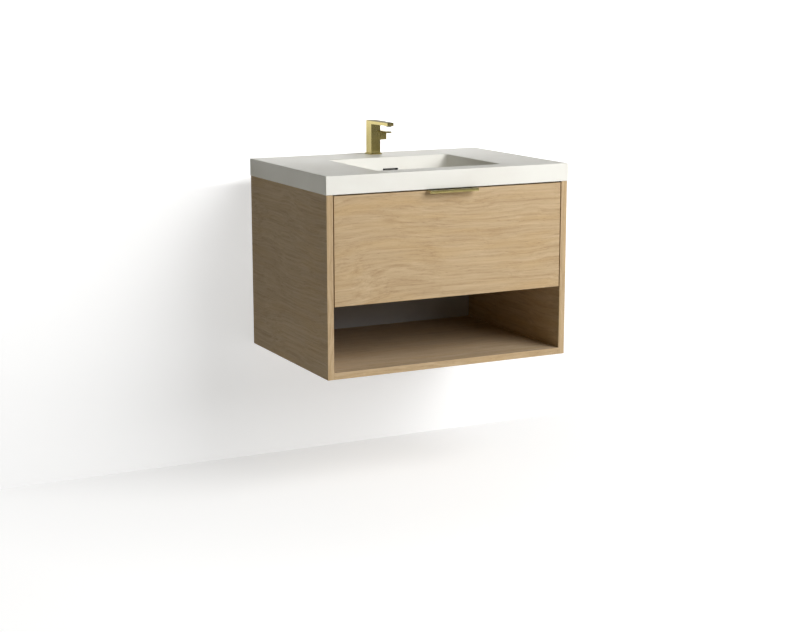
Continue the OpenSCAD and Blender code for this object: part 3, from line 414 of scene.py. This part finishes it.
# The CAD nodes that stay as they are take the material of their slot
materialOf = {"oak": oakAlong["X"], "plywood": plyThin["Y"], "beech": beech,
              "grey_board": greyBoard, "cast_white": castWhite, "brushed_gold": goldAlong["Z"],
              "steel": steelSheet, "black_plastic": blackPlastic, "white_plastic": whitePlastic,
              "drawer_board": drawerBoard, "black_rubber": blackRubber,
              "clear_bumper": clearBumper, "copper": copper}
for node, thing in frame["nodes"].items():
    for place in range(len(thing.material_slots)):
        thing.material_slots[place].material = materialOf[slotOf[node]]


# "side_panel_left" becomes "sidePanelLeft"
def pieceName(node):
    first, *rest = node.split("_")
    return first + "".join(word.capitalize() for word in rest)


# Angles in degrees from which an edge stays sharp in shading
smoothing = {"board": 50, "fitting": 40, "round": 35}


# Makes the piece that stands in for a CAD node, on the node's body, and hides the node
def finishPiece(node, mesh, materials, smooth):
    for material in materials:
        mesh.materials.append(material)
    mesh.shade_smooth()
    mesh.set_sharp_from_angle(angle=math.radians(smooth))
    piece = bpy.data.objects.new(pieceName(node), mesh)
    bpy.context.collection.objects.link(piece)
    even = piece.modifiers.new("evenShading", "WEIGHTED_NORMAL")
    even.keep_sharp = True
    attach(piece, bodyOf[node])
    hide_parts(node)


def meshFrom(name, bm):
    mesh = bpy.data.meshes.new(name)
    bm.to_mesh(mesh)
    bm.free()
    return mesh


# Distances at which vertices become one, and angles that count as flat and as a corner
meshing = {"weld": 2e-6, "join": 1e-6, "flat": math.radians(0.5), "corner": math.radians(40)}


# A merged copy of a CAD node's mesh with its flat faces joined
def mergedCopy(node):
    bm = bmesh.new()
    bm.from_mesh(frame["nodes"][node].data)
    bmesh.ops.remove_doubles(bm, verts=bm.verts, dist=meshing["weld"])
    bmesh.ops.dissolve_limit(bm, angle_limit=meshing["flat"], verts=bm.verts, edges=bm.edges)
    return bm


# Rounds the edges that turn by a corner's angle and are longer than the least length
def easeEdges(bm, width, least=0.0, segments=2, test=None):
    corners = [e for e in bm.edges if len(e.link_faces) == 2
               and abs(e.calc_face_angle()) > meshing["corner"] and e.calc_length() > least
               and (test is None or test(e))]
    bmesh.ops.bevel(bm, geom=corners, offset=width, offset_type="OFFSET", segments=segments,
                    profile=0.5, affect="EDGES", clamp_overlap=False, material=-1)


boardEase = {"oak": 0.0006, "oakSteps": 2, "ply": 0.0008, "plySteps": 3, "least": 0.014}


# A board: the axis that a face looks along picks its veneer; the upper face can have its own
def board(node, grain, veneers, ease, steps, upper=None):
    bm = mergedCopy(node)
    easeEdges(bm, ease, boardEase["least"], steps)
    for face in bm.faces:
        lean = [abs(v) for v in face.normal]
        face.material_index = "XYZ".index(grain["XYZ"[lean.index(max(lean))]])
        if upper and face.normal.z > 0.9:
            face.material_index = len(veneers)
    materials = veneers + ([upper] if upper else [])
    finishPiece(node, meshFrom(pieceName(node), bm), materials, smoothing["board"])


# Oak boards: grain along the face, and edge bands along their own length. The shelf's upper face
# has a greyer, darker copy of the veneer of its own: painted shade for the dim inside of the shelf.
print("vanity: oak boards")
sideGrain = {"X": "Y", "Y": "Z", "Z": "Y"}
crossGrain = {"X": "X", "Y": "X", "Z": "X"}
frontGrain = {"X": "Z", "Y": "X", "Z": "X"}
oakBoards = {"side_panel_left": (sideGrain, None), "side_panel_right": (sideGrain, None),
             "bottom_panel": (crossGrain, shelfOak), "divider_panel": (crossGrain, None),
             "drawer_front": (frontGrain, None)}
for node, (grain, upper) in oakBoards.items():
    board(node, grain, [oakAlong[a] for a in "XYZ"], boardEase["oak"], boardEase["oakSteps"], upper)

# Plywood boards, each with the axis of its thickness
print("vanity: plywood boards")
plyBoards = {"hanging_rail_upper": "Y", "hanging_rail_lower": "Y", "front_stretcher": "Z",
             "drawer_side_left": "X", "drawer_side_right": "X", "drawer_inner_front": "Y",
             "drawer_back_left": "Y", "drawer_back_right": "Y", "cutout_wall_left": "X",
             "cutout_wall_right": "X", "cutout_wall_front": "Y"}
for node, thin in plyBoards.items():
    board(node, {axis: thin for axis in "XYZ"}, [plyThin[a] for a in "XYZ"], boardEase["ply"],
          boardEase["plySteps"])

# Other pieces keep their CAD form with eased edges: easing in metres, material
print("vanity: fittings")
easedPieces = {
    "shelf_back_panel": (0.0004, greyBoard), "drawer_bottom": (0.0004, drawerBoard),
    # The overflow insert is real black plastic and is also painted shade that darkens the slot
    "top_brackets": (0.0004, steelSheet), "overflow_insert": (0.0006, blackPlastic),
    "waste_body": (0.0005, goldAlong["Z"]), "waste_gasket": (0.0005, blackRubber),
    "waste_nut": (0.0007, steelThread), "waste_plug": (0.0004, goldAlong["Z"]),
    "trap_inlet_pipe": (0.0004, whitePlastic), "trap_inlet_nut": (0.0012, whitePlastic),
    "trap_head": (0.0012, whitePlastic), "trap_cup": (0.0014, whitePlastic),
    "trap_outlet_nut": (0.0012, whitePlastic), "trap_outlet_arm": (0.0004, whitePlastic),
    "wall_flange": (0.0008, whitePlastic), "tap_base_plate": (0.0005, goldAlong["X"]),
    "tap_body": (0.0007, goldAlong["Z"]), "tap_aerator": (0.0004, steelSheet),
    "tap_handle": (0.0006, goldAlong["Y"]), "tap_lever": (0.0006, goldAlong["Y"]),
    "tap_shank": (0.0004, steelThread), "tap_washer": (0.0005, blackRubber),
    "tap_nut": (0.0008, steelSheet), "tap_tail_hot": (0.0003, copper),
    "tap_tail_cold": (0.0003, copper), "cabinet_runner_left": (0.0003, steelSheet),
    "cabinet_runner_right": (0.0003, steelSheet), "middle_runner_left": (0.0003, steelSheet),
    "middle_runner_right": (0.0003, steelSheet), "drawer_runner_left": (0.0003, steelSheet),
    "drawer_runner_right": (0.0003, steelSheet), "drawer_pull": (0.0005, goldAlong["X"])}
for node, (width, material) in easedPieces.items():
    bm = mergedCopy(node)
    easeEdges(bm, width)
    finishPiece(node, meshFrom(pieceName(node), bm), [material], smoothing["fitting"])

# Screws: a turned template with a thread, a domed head and a cross recess, set in every hole
print("vanity: screws and bumpers")
screw = {"head": 0.0034, "headHigh": 0.0015, "shank": 0.00185, "root": 0.0014, "pitch": 0.0016,
         "length": 0.0139, "frontLength": 0.0269, "pullLength": 0.0119, "pullScale": 0.5,
         "plain": 0.001, "recessWide": 0.0009, "recessLong": 0.0042, "recessDeep": 0.0009,
         "steps": 20}


# A profile of (radius, height) points turned round Z into a closed solid
def turned(profile, steps):
    bm = bmesh.new()
    verts = [bm.verts.new((radius, 0, z)) for radius, z in profile]
    edges = [bm.edges.new(pair) for pair in zip(verts, verts[1:])]
    bmesh.ops.spin(bm, geom=verts + edges, cent=(0, 0, 0), axis=(0, 0, 1), angle=2 * math.pi,
                   steps=steps, use_merge=True)
    bmesh.ops.remove_doubles(bm, verts=bm.verts, dist=meshing["join"])
    bmesh.ops.recalc_face_normals(bm, faces=bm.faces)
    return bm


# The thread's and the dome's shares are of the pitch and of the head
def screwTemplate(scale, length):
    head, high, shank, root = (screw[k] * scale for k in ("head", "headHigh", "shank", "root"))
    profile = [(0, -length), (root * 0.6, -length + root)]
    for turn in range(int((length - root - screw["plain"]) / screw["pitch"])):
        low = -length + root + turn * screw["pitch"]
        profile += [(root, low), (shank, low + screw["pitch"] * 0.4),
                    (root, low + screw["pitch"] * 0.8)]
    profile += [(root, 0), (head * 0.96, 0), (head, high * 0.18), (head * 0.88, high * 0.66),
                (head * 0.5, high * 0.94), (0, high)]
    blank = cutter("screwBlank", turned(profile, screw["steps"]))
    across, along = screw["recessWide"], screw["recessLong"]
    arms = []
    for wide, long in ((across, along), (along, across)):
        bm = bmesh.new()
        bmesh.ops.create_cube(bm, size=1.0)
        bmesh.ops.scale(bm, vec=(wide * scale, long * scale, 2 * screw["recessDeep"] * scale),
                        verts=bm.verts)
        bmesh.ops.translate(bm, vec=(0, 0, high), verts=bm.verts)
        arms.append(("DIFFERENCE", cutter("recessArm", bm)))
    return carved(blank, arms)


# One mesh of templates set at many places, each a point and the way the template's top looks
def setAt(node, sets):
    bm = bmesh.new()
    for template, places in sets:
        for point, way in places:
            start = len(bm.verts)
            bm.from_mesh(template)
            bm.verts.ensure_lookup_table()
            turn = Vector((0, 0, 1)).rotation_difference(Vector(way)).to_matrix().to_4x4()
            bmesh.ops.transform(bm, matrix=Matrix.Translation(point) @ turn,
                                verts=bm.verts[start:])
    return meshFrom(pieceName(node), bm)


def cutter(name, bm):
    thing = bpy.data.objects.new(name, meshFrom(name, bm))
    bpy.context.collection.objects.link(thing)
    return thing


# The mesh of a blank after its cutters have worked on it; blank and cutters are cleared away
def carved(blank, cutters):
    for kind, thing in cutters:
        cut = blank.modifiers.new(kind, "BOOLEAN")
        cut.operation = kind
        cut.object = thing
        cut.solver = "EXACT"
    seen = blank.evaluated_get(bpy.context.evaluated_depsgraph_get())
    mesh = bpy.data.meshes.new_from_object(seen)
    for thing in [blank] + [thing for kind, thing in cutters]:
        bpy.data.objects.remove(thing)
    mesh.materials.clear()
    return mesh


# A row on the left and its mirror on the right; the row says how far from the middle, the
# depths, the heights and the way that the right one looks
def bothSides(x, depths, heights, way):
    return [((side * x, y, z), (side * way[0], way[1], way[2]))
            for side in (-1, 1) for y in depths for z in heights]


bracketDepths, runnerDepths = (-0.414, -0.110), (-0.486, -0.298, -0.110)
screwRows = {"bracketSide": (0.358, bracketDepths, (0.137,), (-1, 0, 0)),
             "bracketTop": (0.3505, bracketDepths, (0.150,), (0, 0, -1)),
             "cabinetRunner": (0.3588, runnerDepths, (-0.060,), (-1, 0, 0)),
             "drawerRunner": (0.3485, runnerDepths, (-0.060,), (1, 0, 0)),
             "drawerFront": (0.20838, (-0.510,), (-0.080, 0.026), (0, 1, 0))}
pullRow = {"x": (-0.0612, 0, 0.0612), "y": -0.523, "z": 0.1372}

woodScrew = screwTemplate(1.0, screw["length"])
longScrew = screwTemplate(1.0, screw["frontLength"])
pullScrew = screwTemplate(screw["pullScale"], screw["pullLength"])
cabinetPlaces = [place for row in ("bracketSide", "bracketTop", "cabinetRunner")
                 for place in bothSides(*screwRows[row])]
drawerPlaces = bothSides(*screwRows["drawerRunner"])
frontPlaces = bothSides(*screwRows["drawerFront"])
pullPlaces = [((x, pullRow["y"], pullRow["z"]), (0, 1, 0)) for x in pullRow["x"]]
screwSets = {"cabinet_screws": ([(woodScrew, cabinetPlaces)], steelSheet),
             "drawer_screws": ([(woodScrew, drawerPlaces), (longScrew, frontPlaces)], steelSheet),
             "pull_screws": ([(pullScrew, pullPlaces)], goldAlong["Z"])}
for node, (sets, material) in screwSets.items():
    finishPiece(node, setAt(node, sets), [material], smoothing["round"])

# Clear domed bumpers that the drawer front closes on
bumper = {"radius": 0.004, "high": 0.0017, "skirt": 0.0005, "steps": 32,
          "row": (0.320, (-0.523,), (-0.1415,), (0, -1, 0))}
dome = [(0, 0), (bumper["radius"], 0), (bumper["radius"], bumper["skirt"])]
for degrees in range(15, 90, 15):
    rise = (bumper["high"] - bumper["skirt"]) * math.sin(math.radians(degrees))
    dome.append((bumper["radius"] * math.cos(math.radians(degrees)), bumper["skirt"] + rise))
domeMesh = meshFrom("dome", turned(dome + [(0, bumper["high"])], bumper["steps"]))
bumperSet = [(domeMesh, bothSides(*bumper["row"]))]
finishPiece("drawer_bumpers", setAt("drawer_bumpers", bumperSet), [clearBumper],
            smoothing["round"])

# Cast top with its basin
print("vanity: cast top")
top = {"half": 0.381, "front": -0.546, "surface": 0.203, "edge": 0.051, "slab": 0.015,
       "rim": 0.040, "rimBack": 0.020, "bowlHalf": 0.1965, "bowlFront": -0.479,
       "bowlBack": -0.153, "depth": 0.103, "sideLean": 0.046, "endLean": 0.038,
       "rimRound": 0.012, "floorRound": 0.040, "blend": 0.022, "wall": 0.012,
       "drainY": -0.257, "drainHole": 0.0224, "seat": 0.0335, "seatDepth": 0.004,
       "flat": 0.010, "boss": 0.037, "bossLow": 0.075, "leanStart": 0.0075,
       "cornerRound": 0.002, "recessRound": 0.008, "recessIn": (0.001, 0.003),
       "recessDown": 0.002, "edgeRound": 0.0016, "lipRound": 0.0022,
       "seatEase": 0.0004, "footEase": 0.0008, "bossEase": 0.002, "holeEase": 0.0006,
       "slopeShares": (0.6, 0.4, 0.2, 0.06), "cornerSteps": 8, "blendSteps": 10,
       "outerBlendSteps": 6, "lipSteps": 5, "edgeSteps": 3}


# One rounded rectangle of the shell: low and high corners in plan, corner radius, height
def shellRing(lowX, highX, lowY, highY, radius, z):
    return {"low": (lowX, lowY), "high": (highX, highY), "radius": radius, "z": z}


# The bowl's ring at a depth, leaned in at its sides and ends; grow puts it outside by a wall
def bowlRing(sideIn, endIn, down, grow=0.0):
    share = min(max(down / top["depth"], 0), 1)
    radius = top["rimRound"] + (top["floorRound"] - top["rimRound"]) * share
    half = top["bowlHalf"] - sideIn + grow
    return shellRing(-half, half, top["bowlFront"] + endIn - grow,
                     top["bowlBack"] - endIn + grow, radius + grow, top["surface"] - down - grow)


# The curve from the sloping wall into the floor, from 0 at the wall to 1 at the floor
def blendRing(t, grow=0.0):
    straight = top["depth"] - top["blend"]
    share = straight / top["depth"]
    down = (1 - t) ** 2 * straight + (1 - (1 - t) ** 2) * top["depth"]
    ins = [(1 - t) ** 2 * lean * share + 2 * t * (1 - t) * lean + t * t * (lean + top["blend"])
           for lean in (top["sideLean"], top["endLean"])]
    return bowlRing(ins[0], ins[1], down, grow)


# A ring round the drain; its corners stop just short of a full circle
def roundRing(radius, z):
    return shellRing(-radius, radius, top["drainY"] - radius, top["drainY"] + radius,
                     radius * 0.999, z)


def edgeRing(inset, z):
    return shellRing(-top["half"] + inset, top["half"] - inset, top["front"] + inset, -inset,
                     top["cornerRound"], z)


def recessRing(inset, z):
    rim, back = top["rim"], top["rimBack"]
    return shellRing(-top["half"] + rim + inset, top["half"] - rim - inset,
                     top["front"] + rim + inset, -back - inset, top["recessRound"], z)


# Sweeps a closed shell through a list of rings by extruding its open edge again and again
def loftShell(rings, steps):
    bm = bmesh.new()
    quarter = bm.verts.layers.int.new("quarter")
    turn = bm.verts.layers.float.new("turn")
    made = bmesh.ops.create_circle(bm, segments=4 * (steps + 1), radius=1.0)["verts"]
    made.sort(key=lambda v: math.atan2(v.co.y, v.co.x) % (2 * math.pi))
    for place, vert in enumerate(made):
        vert[quarter] = place // (steps + 1)
        vert[turn] = math.radians(90) * (place // (steps + 1) + (place % (steps + 1)) / steps)

    def settle(verts, ring):
        radius, low, high = ring["radius"], ring["low"], ring["high"]
        for vert in verts:
            onRight, onBack = vert[quarter] in (0, 3), vert[quarter] in (0, 1)
            centreX = high[0] - radius if onRight else low[0] + radius
            centreY = high[1] - radius if onBack else low[1] + radius
            vert.co = (centreX + radius * math.cos(vert[turn]),
                       centreY + radius * math.sin(vert[turn]), ring["z"])

    settle(made, rings[0])
    edges = list(bm.edges)
    for ring in rings[1:] + rings[:1]:
        grown = bmesh.ops.extrude_edge_only(bm, edges=edges)["geom"]
        verts = [g for g in grown if isinstance(g, bmesh.types.BMVert)]
        edges = [g for g in grown if isinstance(g, bmesh.types.BMEdge)]
        settle(verts, ring)
    bmesh.ops.remove_doubles(bm, verts=bm.verts, dist=meshing["join"])
    bmesh.ops.recalc_face_normals(bm, faces=bm.faces)
    return bm


# The rings go from the drain's seat up the bowl, over the top, round the rim and back underneath
surface, depth = top["surface"], top["depth"]
floorZ, low = surface - depth, surface - top["edge"]
seat, seatEase = top["seat"], top["seatEase"]
rings = [roundRing(seat, floorZ - top["seatDepth"]), roundRing(seat, floorZ - seatEase),
         roundRing(seat + seatEase, floorZ), roundRing(seat + top["flat"], floorZ)]
rings += [blendRing(1 - i / top["blendSteps"]) for i in range(top["blendSteps"] + 1)]
rings += [bowlRing(top["sideLean"] * d, top["endLean"] * d, depth * d)
          for d in top["slopeShares"]]

# The lip curves from the bowl's slope to the surface
lip, lean = top["lipRound"], top["sideLean"] / depth
for i in range(top["lipSteps"] + 1):
    along = i / top["lipSteps"]
    sideIn = (1 - along) ** 2 * lip * lean - along * along * lip
    endIn = sideIn * top["endLean"] / top["sideLean"] if sideIn > 0 else sideIn
    rings.append(bowlRing(sideIn, endIn, (1 - along) ** 2 * lip))

# The upper edge's rounding, the rim's foot and the recess under the slab
eased, foot = top["edgeRound"], top["footEase"]
for i in range(top["edgeSteps"] + 1):
    angle = math.radians(90 * i / top["edgeSteps"])
    rings.append(edgeRing(eased * (1 - math.sin(angle)), surface - eased * (1 - math.cos(angle))))
slabLow = surface - top["slab"]
rings += [edgeRing(0, low + foot), edgeRing(foot, low), recessRing(-foot, low),
          recessRing(0, low + foot), recessRing(top["recessIn"][0], slabLow - top["recessDown"]),
          recessRing(top["recessIn"][1], slabLow)]

# The bowl's outer wall, from under the slab down to the boss round the drain. Its slope starts
# a little below the surface, and the slab hides it at first.
reached = (top["slab"] - top["leanStart"]) / (depth - top["blend"] + top["wall"] - top["leanStart"])
under = reached * (depth - top["blend"]) / depth
rings.append(bowlRing(top["sideLean"] * under, top["endLean"] * under,
                      top["slab"] - top["wall"], top["wall"]))
rings += [blendRing(i / top["outerBlendSteps"], top["wall"])
          for i in range(top["outerBlendSteps"] + 1)]
boss, bossLow, bossEase = top["boss"], top["bossLow"], top["bossEase"]
hole, holeEase, outerFloor = top["drainHole"], top["holeEase"], floorZ - top["wall"]
rings += [roundRing(boss + bossEase, outerFloor), roundRing(boss, outerFloor - bossEase),
          roundRing(boss, bossLow + foot), roundRing(boss - foot, bossLow),
          roundRing(hole + holeEase, bossLow), roundRing(hole, bossLow + holeEase),
          roundRing(hole, floorZ - top["seatDepth"])]
shell = loftShell(rings, top["cornerSteps"])

# The overflow's channel behind and under the bowl, and the cuts for slot and tap
channel = {"gap": 0.008, "wall": 0.005, "narrower": 0.004, "ease": 0.002, "slotWidth": 0.048,
           "slotHeight": 0.009, "slotDown": 0.037, "slotBefore": 0.012, "slotBehind": 0.016,
           "slotEase": 0.0012, "slotLeast": 0.02, "tapY": -0.050, "tapHole": 0.0175,
           "tapSteps": 48, "tapDeep": 0.06}


def backWallY(down):
    return top["bowlBack"] - top["endLean"] * down / depth


# A solid with one outline in Y and Z, run along X
def alongX(points, width):
    bm = bmesh.new()
    face = bm.faces.new([bm.verts.new((-width / 2, y, z)) for y, z in points])
    grown = bmesh.ops.extrude_face_region(bm, geom=[face])["geom"]
    moved = [g for g in grown if isinstance(g, bmesh.types.BMVert)]
    bmesh.ops.translate(bm, vec=(width, 0, 0), verts=moved)
    bmesh.ops.recalc_face_normals(bm, faces=bm.faces)
    return bm


# The channel's outline, grown outwards by its wall, or set into the bowl's wall by an inset
def channelOutline(inset, grow):
    start = channel["slotDown"] - channel["slotHeight"] / 2 - grow
    startY, turnY = backWallY(start) + top["wall"], backWallY(depth) + top["wall"]
    gap = channel["gap"] + grow
    return [(startY - inset, surface - start), (turnY - inset, outerFloor + inset),
            (top["drainY"], outerFloor + inset), (top["drainY"], outerFloor - gap),
            (turnY + gap, outerFloor - gap), (startY + gap, surface - start)]


outer = alongX(channelOutline(top["wall"] / 2, channel["wall"]),
               channel["slotWidth"] + 2 * channel["wall"])
easeEdges(outer, channel["ease"], 0.0, 3)
inner = alongX(channelOutline(0, 0), channel["slotWidth"] - channel["narrower"])
slotLow = surface - channel["slotDown"] - channel["slotHeight"] / 2
slotHigh = slotLow + channel["slotHeight"]
slotFront = backWallY(channel["slotDown"]) - channel["slotBefore"]
slotBack = backWallY(channel["slotDown"]) + channel["slotBehind"]
slot = alongX([(slotFront, slotLow), (slotBack, slotLow), (slotBack, slotHigh),
               (slotFront, slotHigh)], channel["slotWidth"])


# Only the slot's edges that run through the wall are rounded
def runsThrough(edge):
    return abs((edge.verts[0].co - edge.verts[1].co).normalized().y) > 0.9


easeEdges(slot, channel["slotEase"], channel["slotLeast"], 3, runsThrough)
tapCut = bmesh.new()
bmesh.ops.create_cone(tapCut, cap_ends=True, segments=channel["tapSteps"],
                      radius1=channel["tapHole"], radius2=channel["tapHole"],
                      depth=channel["tapDeep"],
                      matrix=Matrix.Translation((0, channel["tapY"], surface)))
topMesh = carved(cutter("topBlank", shell), [
    ("UNION", cutter("channelOuter", outer)), ("DIFFERENCE", cutter("channelInner", inner)),
    ("DIFFERENCE", cutter("overflowSlot", slot)), ("DIFFERENCE", cutter("tapHole", tapCut))])
finishPiece("vanity_top", topMesh, [castWhite], smoothing["round"])

# Floor, wall and lamps; the glow is light that only the camera and polished metal see
print("vanity: floor, wall and lamps")
stage = {"floorZ": -0.706, "reach": 7.0, "wallHigh": 4.2, "paint": (209, 209, 209),
         "mottle": (206, 206, 206), "cloud": (1.3, 1.3, 1.3), "floorGlow": 0.62,
         "wallGlow": 0.57, "underDark": 0.06, "nearDark": 0.15}

# Ranges in metres: distance from the middle, height, and depth before the wall with its shares
stageRange = {"far": (1.9, 3.4), "high": (0.09, 0.15), "under": (-0.45, -0.10),
              "nearFloor": (0.80, 1.55), "before": (-3.0, -1.2, 0.1, 1.0),
              "mirrored": (0.31, 0.295)}


# White paint. To the camera the glow lightens its shadows, up to plain white far away and high
# up, and a little less under the vanity and on the floor near it. Polished metal sees the glow
# too, but dimmer far before the wall.
def stageMaterial(name, glow, isWall):
    material, tree = bareMaterial(name)
    place = objectPlace(tree)
    parts = partsOf(tree, place)
    ray = addNode(tree, "LightPath").outputs
    paint = mixColours(tree, noiseOf(tree, place, stage["cloud"], 3), tint(*stage["paint"]),
                       tint(*stage["mottle"]))
    diffuse = addNode(tree, "BsdfDiffuse", {"Color": paint}).outputs[0]
    away = addNode(tree, "VectorMath", {0: place}, operation="LENGTH").outputs["Value"]
    level = mathOf(tree, "MAXIMUM", rangeOf(tree, away, *stageRange["far"]),
                   rangeOf(tree, parts["Z"], *stageRange["high"]))
    if isWall:
        own = rangeOf(tree, parts["Z"], *stageRange["under"], glow - stage["underDark"], glow)
    else:
        own = rangeOf(tree, away, *stageRange["nearFloor"], glow - stage["nearDark"], glow)
    seen = timesOf(tree, ray["Is Camera Ray"], mathOf(tree, "MAXIMUM", level, own))
    near = rangeOf(tree, parts["Y"], *stageRange["before"])
    shine = timesOf(tree, timesOf(tree, ray["Is Glossy Ray"], near), glow)
    strength = mathOf(tree, "ADD", seen, shine)
    light = addNode(tree, "Emission", {"Color": white, "Strength": strength}).outputs[0]
    result = addNode(tree, "AddShader", {0: diffuse, 1: light}).outputs[0]
    if isWall:
        result = onlyFromFront(tree, result, ray, parts)
    addNode(tree, "OutputMaterial", {"Surface": result})
    return material


# The wall is clear to light, to a camera behind it, and in reflections above the tap's height
def onlyFromFront(tree, painted, ray, parts):
    mirrored = timesOf(tree, ray["Is Glossy Ray"],
                       rangeOf(tree, parts["Z"], *stageRange["mirrored"]))
    front = mathOf(tree, "SUBTRACT", 1.0, addNode(tree, "NewGeometry").outputs["Backfacing"])
    share = timesOf(tree, mathOf(tree, "MAXIMUM", ray["Is Camera Ray"], mirrored), front)
    clear = addNode(tree, "BsdfTransparent").outputs[0]
    return addNode(tree, "MixShader", {0: share, 1: clear, 2: painted}).outputs[0]


def stagePlane(name, corners, material):
    bm = bmesh.new()
    bm.faces.new([bm.verts.new(c) for c in corners])
    plane = bpy.data.objects.new(name, meshFrom(name, bm))
    plane.data.materials.append(material)
    bpy.context.collection.objects.link(plane)


reach, floorLevel, wallHigh = stage["reach"], stage["floorZ"], stage["wallHigh"]
stagePlane("floor", [(-reach, -reach, floorLevel), (reach, -reach, floorLevel),
                     (reach, reach, floorLevel), (-reach, reach, floorLevel)],
           stageMaterial("floorPaint", stage["floorGlow"], False))
stagePlane("wall", [(-reach, 0.0, floorLevel), (reach, 0.0, floorLevel),
                    (reach, 0.0, wallHigh), (-reach, 0.0, wallHigh)],
           stageMaterial("wallPaint", stage["wallGlow"], True))

lamps = {"key": {"place": (2.62, -4.40, 2.80), "aim": (0, -0.27, -0.05), "size": 4.2,
                 "power": 366},
         "back": {"place": (0.9, 3.2, 0.5), "aim": (0, -0.2, -0.05), "size": 2.0, "power": 60}}
for name, lamp in lamps.items():
    data = bpy.data.lights.new(name, "AREA")
    data.shape = "SQUARE"
    data.size = lamp["size"]
    data.energy = lamp["power"]
    thing = bpy.data.objects.new(name, data)
    towards = Vector(lamp["aim"]) - Vector(lamp["place"])
    thing.location = lamp["place"]
    thing.rotation_euler = towards.to_track_quat("-Z", "Y").to_euler()
    thing.visible_camera = False
    thing.visible_glossy = False
    bpy.context.collection.objects.link(thing)

# The sky lights the scene softly, warmer from the left. In reflections it is bright behind the
# object and low down. To the camera and through clear pieces it is white.
sky = {"light": 0.105, "left": (1.0, 0.93, 0.60, 1), "front": 0.19, "back": 0.95, "above": 0.14,
       "depthRange": (-0.6, 0.4), "heightRange": (0.02, 0.14), "leftRange": (0.1, -0.5)}
world = bpy.data.worlds.new("studio")
bpy.context.scene.world = world
world.use_nodes = True
tree = world.node_tree
tree.nodes.clear()
ray = addNode(tree, "LightPath").outputs
towards = partsOf(tree, addNode(tree, "TexCoord").outputs["Generated"])
shineBack = rangeOf(tree, towards["Y"], *sky["depthRange"], sky["front"], sky["back"])
shineUp = rangeOf(tree, towards["Z"], *sky["heightRange"], 1.0, sky["above"])
gloss = addNode(tree, "Background", {"Color": white, "Strength": timesOf(tree, shineBack, shineUp)})
warmth = mixColours(tree, rangeOf(tree, towards["X"], *sky["leftRange"]), white, sky["left"])
light = addNode(tree, "Background", {"Color": warmth, "Strength": sky["light"]})
plain = addNode(tree, "Background", {"Color": white, "Strength": 1.0})
shine = addNode(tree, "MixShader", {0: ray["Is Glossy Ray"], 1: light.outputs[0],
                                    2: gloss.outputs[0]})
seen = mathOf(tree, "ADD", ray["Is Camera Ray"], ray["Is Transmission Ray"], True)
mixed = addNode(tree, "MixShader", {0: seen, 1: shine.outputs[0], 2: plain.outputs[0]})
addNode(tree, "OutputWorld", {"Surface": mixed.outputs[0]})
